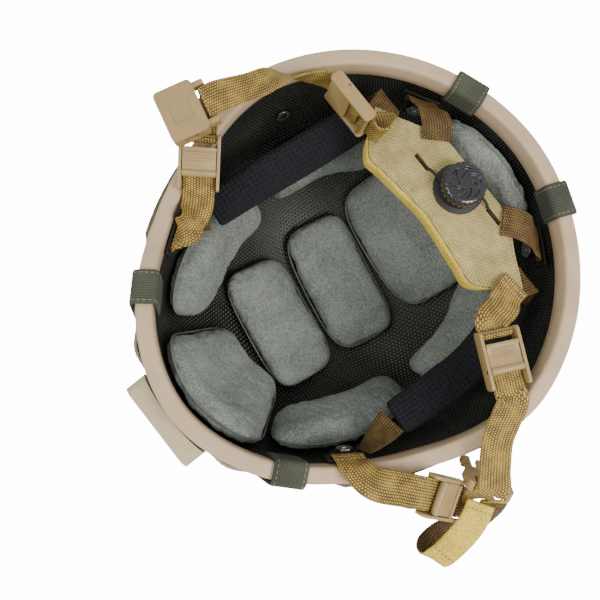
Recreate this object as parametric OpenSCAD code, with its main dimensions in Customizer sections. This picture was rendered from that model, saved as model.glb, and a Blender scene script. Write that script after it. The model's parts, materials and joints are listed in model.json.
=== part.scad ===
// Combat helmet with a dial-fit harness, lying on its crown with the opening up.
// Front (brow) towards -Y, the wearer's right towards +X, up is +Z. Millimetres.

/* [Shell] */
// Half width over the edge trim
rim_half_w = 125.7; // [118:0.1:132]
// Half length over the edge trim
rim_half_l = 134.4; // [126:0.1:142]
// How much narrower the brow half is than the middle, as a fraction
egg = 0.08; // [0:0.01:0.12]
// Fullness of the rim's outline, 2 is an ellipse
rim_power = 1.89; // [1.8:0.01:2.3]
// Fullness of the dome's side view, 2 is an ellipse
dome_power = 2.2; // [2:0.05:2.5]
// Height of the shell's widest level above the crown
widest_h = 125; // [122:1:130]
// Height of the rim at the brow
brow_h = 136; // [132:0.5:142]
// Height of the rim at the ears
ear_h = 120.5; // [116:0.5:126]
// Height of the rim at the nape
nape_h = 147.5; // [143:0.5:152]
// Wall of the shell
shell_t = 7; // [6:0.1:8]
// Radius of the flat patch that the crown rests on
crown_flat_r = 16; // [10:1:18]

/* [Edge trim] */
// Thickness of the trim's two legs
trim_leg = 1.1; // [0.8:0.1:1.4]
// Thickness of the trim over the rim
trim_top = 1.9; // [1.4:0.1:2.4]
// Depth of the trim's outer leg
trim_out_h = 11; // [8:0.5:13]
// Depth of the trim's inner leg
trim_in_h = 13; // [9:0.5:15]
// Gap between the trim and the shell
trim_gap = 0.2; // [0.15:0.05:0.3]

/* [Cover] */
// Thickness of the cover's cloth
cover_t = 1.6; // [1:0.1:2]
// Gap between the cover and the shell
cover_gap = 0.4; // [0.3:0.1:0.6]
// How far the hem lies below the top of the rim
hem_drop = 13; // [12:0.5:16]
// Width of a cover tab
tab_w = 21; // [16:1:26]
// Thickness of a cover tab
tab_t = 1.8; // [1.2:0.1:2.4]
// Width of the rear hook-and-loop panel
loop_panel_w = 80; // [60:5:90]
// Height of the rear hook-and-loop panel
loop_panel_h = 34; // [20:2:40]

/* [Pads] */
// Thickness of the pads
pad_t = 15; // [12:0.5:18]
// Thickness of the hook discs under the pads
disc_t = 1.2; // [0.8:0.1:1.6]
// Radius of the hook discs
disc_r = 12; // [8:1:14]
// Width of the padded sleeves
sleeve_w = 25; // [22:1:28]
// Thickness of the padded sleeves
sleeve_t = 11; // [8:0.5:13]

/* [Webbing] */
// Width of the webbing
web_w = 19; // [17:0.5:20]
// Thickness of the webbing
web_t = 1.4; // [1:0.1:1.6]
// Width of the chin strap
chin_w = 17; // [15:0.5:20]
// Thickness of the chin strap
chin_t = 2.4; // [1.6:0.2:3]

/* [Cam sliders] */
// Length of a slider's frame
slider_l = 33; // [30:0.5:36]
// Wall of a slider's cheeks
cheek_t = 1.8; // [1.4:0.1:2.4]
// Height of a slider's cheeks
cheek_h = 8; // [7:0.5:9]
// Diameter of a slider's pin
pin_d = 2; // [1.6:0.1:2.4]
// Length of a slider's lever
lever_l = 15; // [12:0.5:17]
// Diameter of a webbing bar
bar_d = 3.2; // [2.6:0.1:3.6]

/* [Dial] */
// Diameter of the dial knob
dial_d = 27; // [24:0.5:31]
// Height of the dial knob
dial_h = 7.5; // [6:0.5:9]
// Diameter of the dial's base
base_d = 31; // [30:0.5:35]
// Diameter of the spool inside the base
spool_d = 12; // [10:0.5:14]
// Diameter of the lace
lace_d = 1.6; // [1.2:0.1:2]
// How far the knob pulls out to release the lace
dial_pull = 2.5; // [1.5:0.5:3]

/* [Nape pad] */
// Half width of the nape pad over its tips
nape_half_w = 70; // [64:1:74]
// Thickness of the nape pad
nape_t = 8; // [6:0.5:10]
// Height of the nape pad's middle plane
nape_z = 136; // [133:0.5:140]

/* [Buckle] */
// Width of the buckle
buckle_w = 31; // [29:0.5:33]
// Length of the buckle's socket
socket_l = 30; // [27:0.5:32]
// Thickness of the buckle's socket
socket_t = 9.5; // [8.5:0.5:10.5]

/* [Shroud and rails] */
// Width of the front shroud
shroud_w = 56; // [48:1:60]
// Height of the front shroud
shroud_h = 46; // [38:1:48]
// How far the shroud stands out
shroud_t = 11; // [9:0.5:13]
// Height of a side rail
rail_h = 21; // [18:0.5:24]
// Thickness of a side rail
rail_t = 8; // [6:0.5:9]
// Diameter of the harness bolts
bolt_d = 4.8; // [4:0.2:5.2]

/* [Hidden] */

// Clearances and small sizes that several pieces share
seat_gap = 0.3;
run_gap = 0.02;
pin_run = 0.05;
segments = 60;
dome_rows = 9;
// Angles from the front where the rim's height changes
brow_end = 24;
ear_start = 54;
ear_end = 67;
nape_start = 106;
// Height of the shell's lowest point over the rest plane
shell_z0 = cover_t + cover_gap;
// More room between the trim's inner leg and the flats of the shell's inner face
flat_room = 0.35;
// Width of the trim over the shell and both legs
trim_w = shell_t + 2 * (trim_leg + trim_gap) + flat_room;
// Depth under the shell's outer face at which the pads' backs lie
pad_off = shell_t + 0.9 + disc_t + 0.5;
// Bends of the cover's hem: angle, half width, height
hem_folds = [[-18, 7, 3.5], [18, 7, 3], [-136, 14, 3], [133, 13, 2.5]];

function smooth(x) = let (q = min(max(x, 0), 1)) q * q * (3 - 2 * q);
function unit(v) = v / norm(v);
function flip_x(p) = [-p.x, p.y, p.z];
// Angle from the front, between 0 and 180
function from_front(f) = let (d = abs(f) % 360) d > 180 ? 360 - d : d;
// Plan radius of the trim's outer edge
function plan_r(f) =
  pow(pow(abs(sin(f)) / (rim_half_w * (1 - egg * cos(f))), rim_power) +
      pow(abs(cos(f)) / rim_half_l, rim_power), -1 / rim_power);
// Height of the trim's top
function rim_z(f) =
  let (d = from_front(f))
  brow_h + (ear_h - brow_h) * smooth((d - brow_end) / (ear_start - brow_end)) +
  (nape_h - ear_h) * smooth((d - ear_end) / (nape_start - ear_end));
// Plan radius of the wall, off mm inside the shell's outer face
function wall_r(f, off) = plan_r(f) - trim_leg - trim_gap - off;
function level(z, off) = max(widest_h - z, 0) / (widest_h - shell_z0 - off);
function around(f, r, z) = [r * sin(f), -r * cos(f), z];
// Point of the dome at an angle from the front and a height
function dome_z(f, z, off) =
  around(f, wall_r(f, off) * pow(max(1 - pow(level(z, off), dome_power), 0), 1 / dome_power), z);
// Point of the dome at an angle from the front and an angle from the crown
function dome_a(f, a, off) =
  a < 90
  ? around(f, wall_r(f, off) * pow(sin(a), 2 / dome_power),
           widest_h - (widest_h - shell_z0 - off) * pow(cos(a), 2 / dome_power))
  : around(f, wall_r(f, off), widest_h + 2 * (a - 90));
function along_rim(f, z, off) = unit(dome_z(f + 1, z, off) - dome_z(f - 1, z, off));
function up_wall(f, z, off) = unit(dome_z(f, z + 1, off) - dome_z(f, z - 1, off));
function hem_fold(f) =
  let (d = f > 180 ? f - 360 : f)
  max([for (h = hem_folds) abs(d - h[0]) < h[1] ? h[2] * pow(cos(90 * (d - h[0]) / h[1]), 2) : 0]);
// How far the shell's edge lies below the top of the trim
shell_drop = trim_top + seat_gap;
// One level row of the dome, v from 0 at the crown to 1 at its top edge
function cup_row(off, v, drop, folds) =
  [for (i = [0:segments - 1])
    let (f = i * 360 / segments,
         low = shell_z0 + off,
         z = min(rim_z(f) - drop, low + (rim_z(f) - shell_drop - low) * (1 - cos(90 * v))),
         fold = folds ? hem_fold(f) * smooth((v - 0.75) / 0.25) : 0)
    dome_z(f, z, off) + around(f, fold, 0)];

// A solid through rings of points, end to end or closed on itself; both faces of a thin one split alike
module skin(rings, closed = false, thin = false) {
  m = len(rings[0]);
  n = len(rings);
  sides = [for (k = [0:n - (closed ? 1 : 2)], i = [0:m - 1])
    let (j = (i + 1) % m, a = k * m, b = ((k + 1) % n) * m)
    each thin && i >= m / 2 ? [[a + i, b + i, a + j], [a + j, b + i, b + j]]
                            : [[a + i, b + i, b + j], [a + i, b + j, a + j]]];
  caps = closed ? [] : [[for (i = [0:m - 1]) i], [for (i = [m - 1:-1:0]) (n - 1) * m + i]];
  polyhedron([for (r = rings) each r], concat(sides, caps), convexity = 8);
}

// A solid through rings of points, closed by a point at each end
module blob(first, rings, last) {
  m = len(rings[0]);
  n = len(rings);
  top = n * m + 1;
  fans = [for (i = [0:m - 1])
    let (j = (i + 1) % m)
    each [[0, 1 + i, 1 + j], [top, top - m + j, top - m + i]]];
  sides = [for (k = [0:n - 2], i = [0:m - 1])
    let (j = (i + 1) % m, a = 1 + k * m, b = 1 + (k + 1) * m)
    each [[a + i, b + i, b + j], [a + i, b + j, a + j]]];
  polyhedron(concat([first], [for (r = rings) each r], [last]), concat(fans, sides), convexity = 8);
}

// Puts its children at o, with x along xd and y near yd
module place(o, xd, yd) {
  x = unit(xd);
  z = unit(cross(x, yd));
  y = cross(z, x);
  multmatrix([[x.x, y.x, z.x, o.x], [x.y, y.y, z.y, o.y], [x.z, y.z, z.z, o.z], [0, 0, 0, 1]])
    children();
}

// Point of a local frame in the part's frame
function out_of(s, p) =
  let (x = unit(s[1]), z = unit(cross(x, s[2])), y = cross(z, x)) s[0] + x * p.x + y * p.y + z * p.z;
function cross_dir(s) = let (x = unit(s[1]), z = unit(cross(x, s[2]))) cross(z, x);

// Routes of webbing: a list of [middle, direction of the width]
function blend4(a, b, c, d, t) =
  (2 * b + (c - a) * t + (2 * a - 5 * b + 4 * c - d) * t * t + (3 * b - a - 3 * c + d) * t * t * t) / 2;
function dense(route, steps) =
  let (n = len(route))
  concat(
    [for (i = [0:n - 2], s = [0:steps - 1])
      [for (k = [0, 1])
        blend4(route[max(i - 1, 0)][k], route[i][k], route[i + 1][k], route[min(i + 2, n - 1)][k],
               s / steps)]],
    [route[n - 1]]);
// Rings of a section [across, thick] carried along a route
function carried(path, section, sizes) =
  [for (i = [0:len(path) - 1])
    let (along = path[min(i + 1, len(path) - 1)][0] - path[max(i - 1, 0)][0],
         thick = unit(cross(along, path[i][1])),
         across = unit(cross(thick, along)))
    [for (p = section) path[i][0] + across * p[0] * sizes[i] + thick * p[1] * sizes[i]]];
function flat_section(w, t) = [[-w / 2, -t / 2], [w / 2, -t / 2], [w / 2, t / 2], [-w / 2, t / 2]];
module ribbon(route, w = web_w, t = web_t, steps = 3) {
  path = dense(route, steps);
  skin(carried(path, flat_section(w, t), [for (p = path) 1]), thin = true);
}

// Frames of the fixed hardware: [middle, along, up], set square to the dome
function seat(f, z) = [dome_z(f, z, 0), along_rim(f, z, 0), up_wall(f, z, 0)];
module at_seat(s) { place(s[0], s[1], s[2]) children(); }
anchor_seats = [for (p = [[50, ear_h - 19.5], [-50, ear_h - 19.5], [150, nape_h - 33.5], [-150, nape_h - 33.5]])
  seat(p[0], p[1])];
function rail_top(f) = ear_h - 26.5 + 10 * smooth((f - 75) / 35);
rail_start = 44;
rail_end = 118;
rail_screw_angles = [58, 108];
rail_seats = [for (side = [1, -1], f = rail_screw_angles) seat(side * f, rail_top(f) - rail_h / 2)];
// The shroud stands on the front, tilted with the wall
shroud_z = 98;
shroud_tilt = 10;
shroud_y = dome_z(0, shroud_z, 0).y;
shroud_screw_places = [[-20, -14], [20, -14], [0, 16]];
module at_shroud() { translate([0, shroud_y, shroud_z]) rotate([90 + shroud_tilt, 0, 0]) children(); }

screw_d = 4;
screw_hole_d = screw_d + 0.6;
bolt_hole_d = bolt_d + 0.6;
// Height of the cover's outer face over the shell's outer face
cover_top = cover_gap + cover_t;
// Depth of the brackets' outer face under the shell's outer face
bracket_top = -shell_t - 3.5;
bracket_t = 1.6;
nut_h = 3.2;
nut_top = bracket_top - bracket_t - seat_gap;

module wall_holes() {
  for (s = anchor_seats) at_seat(s)
    cylinder(h = 40, d = bolt_hole_d, center = true, $fn = 24);
  for (s = rail_seats) at_seat(s)
    cylinder(h = 40, d = screw_hole_d, center = true, $fn = 20);
  at_shroud() for (p = shroud_screw_places) translate([p.x, p.y, 0])
    cylinder(h = 60, d = screw_hole_d, center = true, $fn = 20);
}

module shell() color("#23241f") difference() {
  outside = [for (j = [1:dome_rows]) cup_row(0, j / dome_rows, shell_drop, false)];
  inside = [for (j = [dome_rows:-1:1]) cup_row(shell_t, j / dome_rows, shell_drop, false)];
  blob([0, 0, shell_z0], concat(outside, inside), [0, 0, shell_z0 + shell_t]);
  wall_holes();
}

module edge_trim() color("#d9c9ba") {
  w = trim_w;
  section = [
    [trim_leg, -trim_out_h], [trim_leg, -trim_top], [w - trim_leg, -trim_top],
    [w - trim_leg, -trim_in_h], [w, -trim_in_h], [w, -1.5], [w - 0.6, -0.4], [w - 1.8, 0],
    [1.8, 0], [0.6, -0.4], [0, -1.5], [0, -trim_out_h]
  ];
  skin([for (i = [0:segments - 1])
    let (f = i * 360 / segments)
    [for (p = section) dome_z(f, rim_z(f) + p[1], p[0] - trim_leg - trim_gap)]], closed = true);
}

module cover() color("#8b8d7c") difference() {
  outer_off = -cover_top;
  inner_off = -cover_gap;
  flat = [for (i = [0:segments - 1]) around(i * 360 / segments, crown_flat_r, 0)];
  outside = [for (j = [2:dome_rows]) cup_row(outer_off, j / dome_rows, hem_drop, true)];
  inside = [for (j = [dome_rows:-1:1]) cup_row(inner_off, j / dome_rows, hem_drop, true)];
  blob([0, 0, 0], concat([flat], outside, inside), [0, 0, cover_t]);
  wall_holes();
}

// Hook-and-loop tab folded over the rim at an angle from the front
module cover_tab(f, leg_in) color("#5c6053") {
  z = rim_z(f);
  along = unit(around(f + 1, plan_r(f + 1), rim_z(f + 1)) - around(f - 1, plan_r(f - 1), rim_z(f - 1)));
  leg_out = 22;
  out_y = cover_top + 0.4;
  in_y = -(trim_w - trim_leg - trim_gap + 0.9);
  place(dome_z(f, z, 0), along, around(f, 1, 0)) rotate([90, 0, 90])
    linear_extrude(height = tab_w, center = true)
      polygon([
        [out_y + tab_t, leg_out], [out_y + tab_t, -1.2], [out_y + 0.6, -seat_gap - tab_t],
        [in_y - 0.6, -seat_gap - tab_t], [in_y - tab_t, -1.2], [in_y - tab_t, leg_in],
        [in_y, leg_in], [in_y, -seat_gap], [out_y, -seat_gap], [out_y, leg_out]
      ]);
}
module cover_tab_front_left() cover_tab(-32.6, 16);
module cover_tab_front_right() cover_tab(32.6, 16);
module cover_tab_rear_left() cover_tab(-160.4, 13);
module cover_tab_rear_right() cover_tab(160.4, 13);

module rear_loop_panel() color("#3a3a32") {
  half = loop_panel_w / 2 / plan_r(180) * 57.3;
  top = 123;
  low = top - loop_panel_h;
  near = -cover_top - 0.5;
  far = near - 1.6;
  skin([for (i = [0:10])
    let (f = 180 - half + i * half / 5)
    [for (p = [[far, 0], [far, 1 / 3], [far, 2 / 3], [far, 1],
               [near, 1], [near, 2 / 3], [near, 1 / 3], [near, 0]])
      dome_z(f, low + loop_panel_h * p[1], p[0])]]);
}

module rounded(w, h, r) {
  square([w - 2 * r, h], center = true);
  square([w, h - 2 * r], center = true);
  for (x = [-1, 1], y = [-1, 1]) translate([x * (w / 2 - r), y * (h / 2 - r)]) circle(r = r);
}

// Local frame: x to the right, y up, z outward, origin on the shell's outer face
module front_shroud() color("#a3977c") at_shroud() difference() {
  back = cover_top - 6;
  union() {
    translate([0, 0, back]) linear_extrude(height = shroud_t - back) rounded(shroud_w, shroud_h, 6);
    translate([0, -4, back]) linear_extrude(height = shroud_t - back + 2) rounded(34, 30, 4);
  }
  // Hollow back that lies round the covered dome
  translate([0, 3, -back_r + cover_top + 0.6]) sphere(r = back_r, $fn = 96);
  // Slot that takes a bracket, and its lock hole
  translate([0, -2, shroud_t - 3.5]) linear_extrude(height = 12) rounded(23, 36, 2);
  translate([0, -4, 0]) cylinder(h = 30, d = lock_hole_d, $fn = 32);
  for (p = shroud_screw_places) translate([p.x, p.y, 0]) {
    translate([0, 0, -20]) cylinder(h = 60, d = screw_d + 0.4, $fn = 24);
    translate([0, 0, shroud_t - 2.6]) cylinder(h = 20, d = 9, $fn = 32);
  }
}
back_r = 122;
lock_hole_d = 6;

module screw(head_z, head_d, head_h, tip_z) {
  difference() {
    translate([0, 0, head_z]) cylinder(h = head_h, d = head_d, $fn = 32);
    translate([0, 0, head_z + head_h - 1]) cylinder(h = 2, d = head_d * 0.45, $fn = 6);
  }
  translate([0, 0, tip_z]) cylinder(h = head_z - tip_z + 0.1, d = screw_d, $fn = 24);
}
module shroud_screws() color("#3b3c3a") at_shroud() for (p = shroud_screw_places) translate([p.x, p.y, 0])
  screw(shroud_t - 2.6 + 0.05, 8, 2.2, 1 - shell_t);

module side_rail() {
  t = rail_t;
  h = rail_h;
  section = [
    [0, -h], [t, -h], [t, -0.72 * h], [t - 2.5, -0.72 * h], [t - 2.5, -0.8 * h], [2.5, -0.8 * h],
    [2.5, -0.2 * h], [t - 2.5, -0.2 * h], [t - 2.5, -0.28 * h], [t, -0.28 * h], [t, 0], [0, 0]
  ];
  steps = 22;
  difference() {
    skin([for (i = [0:steps])
      let (f = rail_start + i * (rail_end - rail_start) / steps,
           ends = min(smooth((f - rail_start) / 6), smooth((rail_end - f) / 6)),
           top = rail_top(f))
      [for (p = section)
        dome_z(f, top - h / 2 + (p[1] + h / 2) * (0.55 + 0.45 * ends),
               -cover_top - 0.6 - p[0] * (0.4 + 0.6 * ends))]]);
    for (s = rail_seats) at_seat(s) cylinder(h = 60, d = screw_d + 0.4, center = true, $fn = 20);
  }
}
module side_rail_right() color("#6b6247") side_rail();
module side_rail_left() color("#6b6247") mirror([1, 0, 0]) side_rail();
module rail_screws() color("#3b3c3a") for (s = rail_seats) at_seat(s)
  screw(cover_top + 0.6 + 2.5 + 0.4, 7.5, 2.2, -shell_t - 2.6);

// Plate on the inside of the wall: spacer, bolt hole, and a slot for the webbing towards the rim
module anchor_brackets() color("#1c1c1c") for (s = anchor_seats) at_seat(s) difference() {
  union() {
    translate([0, 0, bracket_top - bracket_t]) linear_extrude(height = bracket_t) {
      circle(d = 19, $fn = 48);
      translate([-12.5, 3]) square([25, 10.5]);
    }
    translate([0, 0, bracket_top - 0.1])
      cylinder(h = -shell_t - 0.9 - bracket_top + 0.1, d = 9.6, $fn = 48);
  }
  cylinder(h = 60, d = bolt_d + 0.6, center = true, $fn = 32);
  translate([-10, 7.4, bracket_top - 5]) cube([20, 3, 10]);
}

module anchor_bolts() color("#8d8f8c") for (s = anchor_seats) at_seat(s) {
  difference() {
    translate([0, 0, cover_top + seat_gap]) cylinder(h = 2.6, d = 12, $fn = 48);
    translate([0, 0, cover_top + seat_gap + 1.6]) cylinder(h = 3, d = 5, $fn = 6);
  }
  translate([0, 0, nut_top - nut_h - 0.8])
    cylinder(h = cover_top + seat_gap - nut_top + nut_h + 0.9, d = bolt_d, $fn = 32);
}

module inner_nuts() color("#76786f") {
  for (s = anchor_seats) at_seat(s) translate([0, 0, nut_top - nut_h]) difference() {
    cylinder(h = nut_h, d = 11, $fn = 6);
    translate([0, 0, -1]) cylinder(h = nut_h + 2, d = bolt_d + 2 * run_gap, $fn = 32);
  }
  for (s = rail_seats) at_seat(s) flat_nut();
}
module flat_nut() translate([0, 0, -shell_t - 2.2]) difference() {
  cylinder(h = 1.3, d = 9.5, $fn = 32);
  translate([0, 0, -1]) cylinder(h = 4, d = screw_d + 2 * run_gap, $fn = 24);
}

// Cushions: rings of [share of the outline, share of the thickness]
pad_rings = [[0.5, 0], [0.9, 0], [0.97, 0.12], [1, 0.36],
             [0.93, 0.62], [0.82, 0.8], [0.62, 0.93], [0.35, 0.985]];
pad_points = 24;
function corner(c, s) = sign(c) * pow(abs(c), s);
function outline(i) = let (t = i * 360 / pad_points) [corner(cos(t), 0.5), corner(sin(t), 0.5)];
// Point of a side pad, given the angles of its front and rear edges
function side_point(e, p, off) =
  let (k = (1 + p.x) / 2,
       low = e[2][0] + (e[3][0] - e[2][0]) * k,
       high = e[2][1] + (e[3][1] - e[2][1]) * k)
  dome_a(e[0] + (e[1] - e[0]) * k, (low + high) / 2 + p.y * (high - low) / 2, off);
module side_pad(e) color("#6f7774") blob(
  side_point(e, [0, 0], pad_off),
  [for (r = pad_rings) [for (i = [0:pad_points - 1])
    let (q = outline(i)) side_point(e, [q.x * r[0], -q.y * r[0]], pad_off + pad_t * r[1])]],
  side_point(e, [0, 0], pad_off + pad_t));
// Point of the dome over a place in plan
function cap_point(x, y, off) =
  let (f = atan2(x, -y), r = norm([x, y]))
  [x, y, widest_h - (widest_h - shell_z0 - off) *
    pow(max(1 - pow(r / wall_r(f, off), dome_power), 0), 1 / dome_power)];
module crown_pad(c) color("#6f7774") blob(
  cap_point(c[0], c[1], pad_off),
  [for (r = pad_rings) [for (i = [0:pad_points - 1])
    let (q = outline(i) * r[0], x = q.x * c[2] / 2, y = q.y * c[3] / 2)
    cap_point(c[0] + x * cos(c[4]) - y * sin(c[4]), c[1] + x * sin(c[4]) + y * cos(c[4]),
              pad_off + pad_t * r[1])]],
  cap_point(c[0], c[1], pad_off + pad_t));
// Front edge, rear edge, then the crown and rim limits at each, all angles
forehead_edges = [-20, 24, [38, 87], [38, 87]];
front_edges = [26, 86, [50, 79.5], [37, 58]];
rear_edges = [97, 149, [39, 61], [52, 75]];
nape_rest_edges = [160, 200, [73, 91], [73, 91]];
// Middle, length, width and turn of each crown pad
crown_places = [[-5.5, -42, 91, 50, -9], [-1.5, 13.5, 98, 51.5, -11], [1.6, 68, 100, 48.5, -6]];
module forehead_pad() side_pad(forehead_edges);
module front_pad_right() side_pad(front_edges);
module front_pad_left() mirror([1, 0, 0]) side_pad(front_edges);
module rear_pad_right() side_pad(rear_edges);
module rear_pad_left() mirror([1, 0, 0]) side_pad(rear_edges);
module nape_rest_pad() side_pad(nape_rest_edges);
module crown_pad_front() crown_pad(crown_places[0]);
module crown_pad_middle() crown_pad(crown_places[1]);
module crown_pad_rear() crown_pad(crown_places[2]);

disc_off = shell_t + 0.9;
disc_points = 16;
disc_side_places = [[-8, 62], [12, 62], [44, 60], [68, 53], [-44, 60], [-68, 53],
                    [112, 54], [134, 59], [-112, 54], [-134, 59], [172, 82], [188, 82]];
disc_crown_places = [[-28, -38], [18, -47], [-27, 19], [25, 7], [-25, 69], [29, 63]];
module hook_discs() color("#2a2b26") {
  for (c = disc_side_places) blob(
    dome_a(c[0], c[1], disc_off),
    [for (off = [disc_off, disc_off + disc_t]) [for (i = [0:disc_points - 1])
      let (t = -i * 360 / disc_points, r = wall_r(c[0], off))
      dome_a(c[0] + 57.3 * disc_r * cos(t) / (r * sin(c[1])), c[1] + 57.3 * disc_r * sin(t) / 112, off)]],
    dome_a(c[0], c[1], disc_off + disc_t));
  for (c = disc_crown_places) blob(
    cap_point(c[0], c[1], disc_off),
    [for (off = [disc_off, disc_off + disc_t]) [for (i = [0:disc_points - 1])
      let (t = i * 360 / disc_points)
      cap_point(c[0] + disc_r * cos(t), c[1] + disc_r * sin(t), off)]],
    cap_point(c[0], c[1], disc_off + disc_t));
}

// Cam sliders: [middle, along the webbing, across it], the bar at the far end of x
rear_left = [[-76.5, 50, nape_z + 17], [1, 0, 0], [0, 0, -1]];
front_left = [[-106, -34, ear_h + 9], [-0.71, 0.6, 0.36], [-0.6, -0.8, 0]];
rear_right = [[89.6, 29, nape_z + 12.5], [-0.89, 0.45, 0], [-0.45, -0.89, 0]];
front_right = [[133, -43, ear_h + 1.5], [0.67, 0.47, -0.58], [-0.5, 0.85, 0.1]];
module in_frame(s) { place(s[0], s[1], s[2]) children(); }

half_in = web_w / 2 + 0.7;
bar_x = slider_l / 2 - 2;
pin_x = -6;
pin_z = 3.4;
cheek_low = -2.9;
module webbing_bar() rotate([90, 0, 0])
  cylinder(h = 2 * half_in + 0.4, d = bar_d, center = true, $fn = 32);
module slider_frame() color("#a98f63") difference() {
  union() {
    for (side = [-1, 1]) translate([0, side * (half_in + cheek_t / 2), cheek_low + cheek_h / 2])
      rotate([90, 0, 0]) linear_extrude(height = cheek_t, center = true) rounded(slider_l, cheek_h, 2.4);
    // Floor under the webbing, and its three grip ribs
    translate([-14.5, -half_in - 0.2, cheek_low]) cube([16, 2 * half_in + 0.4, 1.6]);
    for (x = [-9, -7, -5]) translate([x, -half_in - 0.2, cheek_low + 1.2])
      cube([0.6, 2 * half_in + 0.4, 0.7]);
    translate([bar_x, 0, 0]) webbing_bar();
  }
  translate([pin_x, 0, pin_z]) rotate([90, 0, 0])
    cylinder(h = 40, d = pin_d + 2 * run_gap, center = true, $fn = 32);
}
nose_r = 2.3;
module slider_lever() color("#9c8358") difference() {
  half = half_in - 0.4;
  union() {
    translate([pin_x, 0, pin_z]) rotate([90, 0, 0])
      cylinder(h = 2 * half, r = nose_r, center = true, $fn = 32);
    translate([pin_x, -half, pin_z - 0.9]) cube([lever_l, 2 * half, 1.9]);
    // Raised lip for the finger
    translate([pin_x + lever_l - 2.2, -half, pin_z - 0.9]) cube([2.2, 2 * half, 3.4]);
  }
  translate([pin_x, 0, pin_z]) rotate([90, 0, 0])
    cylinder(h = 40, d = pin_d + 2 * pin_run, center = true, $fn = 32);
}
module slider_pin() color("#8d8f8c") translate([pin_x, 0, pin_z]) rotate([90, 0, 0])
  cylinder(h = 2 * (half_in + cheek_t), d = pin_d, center = true, $fn = 32);
module slider_rear_left() in_frame(rear_left) slider_frame();
module slider_rear_right() in_frame(rear_right) slider_frame();
module slider_front_left() in_frame(front_left) slider_frame();
module slider_front_right() in_frame(front_right) slider_frame();
module lever_rear_left() in_frame(rear_left) slider_lever();
module lever_rear_right() in_frame(rear_right) slider_lever();
module lever_front_left() in_frame(front_left) slider_lever();
module lever_front_right() in_frame(front_right) slider_lever();
module slider_pin_rear_left() in_frame(rear_left) slider_pin();
module slider_pin_rear_right() in_frame(rear_right) slider_pin();
module slider_pin_front_left() in_frame(front_left) slider_pin();
module slider_pin_front_right() in_frame(front_right) slider_pin();

// Webbing stretches in a slider: straight through the clamp, and turned round the bar
loop_r = bar_d / 2 + web_t / 2 + seat_gap;
function through(s, xs) = [for (x = xs) [out_of(s, [x, 0, 0]), cross_dir(s)]];
function round_bar(s, x, back, side) =
  [for (p = [[x + back, side * loop_r * 0.8], [x, side * loop_r],
             [x - 0.7 * loop_r, side * 0.7 * loop_r], [x - loop_r, 0],
             [x - 0.7 * loop_r, -side * 0.7 * loop_r], [x, -side * loop_r]])
    [out_of(s, [p[0], 0, p[1]]), cross_dir(s)]];
function reversed(r) = [for (i = [len(r) - 1:-1:0]) r[i]];

// Buckle: [bar's middle, towards the mouth, across]
socket_at = [[-125.7, -11.7, ear_h + 27.5], [-0.23, -0.96, -0.15], [0.97, -0.24, 0]];
plug_at = [[147, -18.8, ear_h + 6.5], [-0.27, 0.42, -0.87], [0.84, 0.54, 0]];

// Straps, each a list of [middle, direction of the width]
rear_seat = anchor_seats[2];
rear_strap_route = [
  [out_of(rear_seat, [0, 8, bracket_top - bracket_t - 1.3]), rear_seat[1]],
  [out_of(rear_seat, [0, 13, bracket_top - bracket_t - 2.4]), rear_seat[1]],
  [[53, 100, nape_z - 4], [-0.8, 0.55, 0]], [[46, 97, nape_z + 3], [-0.7, 0.65, 0]],
  [[38, 92, nape_z + nape_t / 2 + 2], [-0.6, 0.8, 0]],
  [[31, 86, nape_z + nape_t / 2 + 1.4], [-0.65, 0.76, 0]]
];
module rear_strap() color("#6a4a25") ribbon(rear_strap_route, steps = 2);
module rear_strap_right() rear_strap();
module rear_strap_left() mirror([1, 0, 0]) rear_strap();

tip = [65, 67.5, nape_z + nape_t / 2 + 1];
link_left_route = concat(
  [[flip_x(tip), [-0.6, -0.8, 0]], [[-58, 62.5, nape_z + 12], [-0.5, -0.65, -0.5]],
   [[-51.5, 56.5, nape_z + 16.5], [-0.1, -0.2, -1]]],
  round_bar(rear_left, bar_x, 8, 1));
module nape_link_left() color("#a98b4a") ribbon(link_left_route, steps = 2);
link_right_route = concat(
  [[tip + [0, 0, 0.4], [-0.6, 0.8, 0]], [[66, 60, nape_z + 6], [-0.95, 0.3, 0]],
   [[69, 50, nape_z + 9], [-0.85, -0.45, -0.25]]],
  round_bar(rear_right, bar_x, 7, -1));
module nape_link_right() color("#a98b4a") ribbon(link_right_route, steps = 2);

side_left_route = concat(
  through(rear_left, [9, -6, -19]),
  [[[-105, 38.5, nape_z + 19], [-0.45, -0.2, -0.85]], [[-112.5, 25, nape_z + 20.5], [-0.85, -0.25, -0.45]],
   [[-118, 12, ear_h + 32.5], [-0.93, -0.1, -0.3]], [[-122.5, 0, ear_h + 31], [-0.97, 0.1, -0.1]]],
  over_bar(socket_at, [[-2.4, 0.95], [0, 1], [0.7, 0.7], [1, 0]]));
module side_strap_left() color("#a98b4a") ribbon(side_left_route, steps = 3);
side_right_route = concat(
  through(rear_right, [9, -6, -19, -25]),
  [[[123, -1, ear_h + 24], [-0.6, -0.8, 0]], [[137, -12, ear_h + 17], [-0.64, -0.77, 0]]],
  over_bar(plug_at, [[-1.4, 1.6], [-1, 0], [-0.7, -0.7], [0, -1], [0.7, -0.7]]));
module side_strap_right() color("#a98b4a") ribbon(side_right_route, steps = 3);
// Turn round a buckle's bar, in shares of the turn's radius, the second one upwards
function over_bar(s, points) =
  let (up = cross(unit(s[1]), cross_dir(s)), k = up.z < 0 ? -1 : 1)
  [for (p = points) [out_of(s, [p[0] * loop_r, 0, k * p[1] * loop_r]), -cross_dir(s)]];

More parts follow.
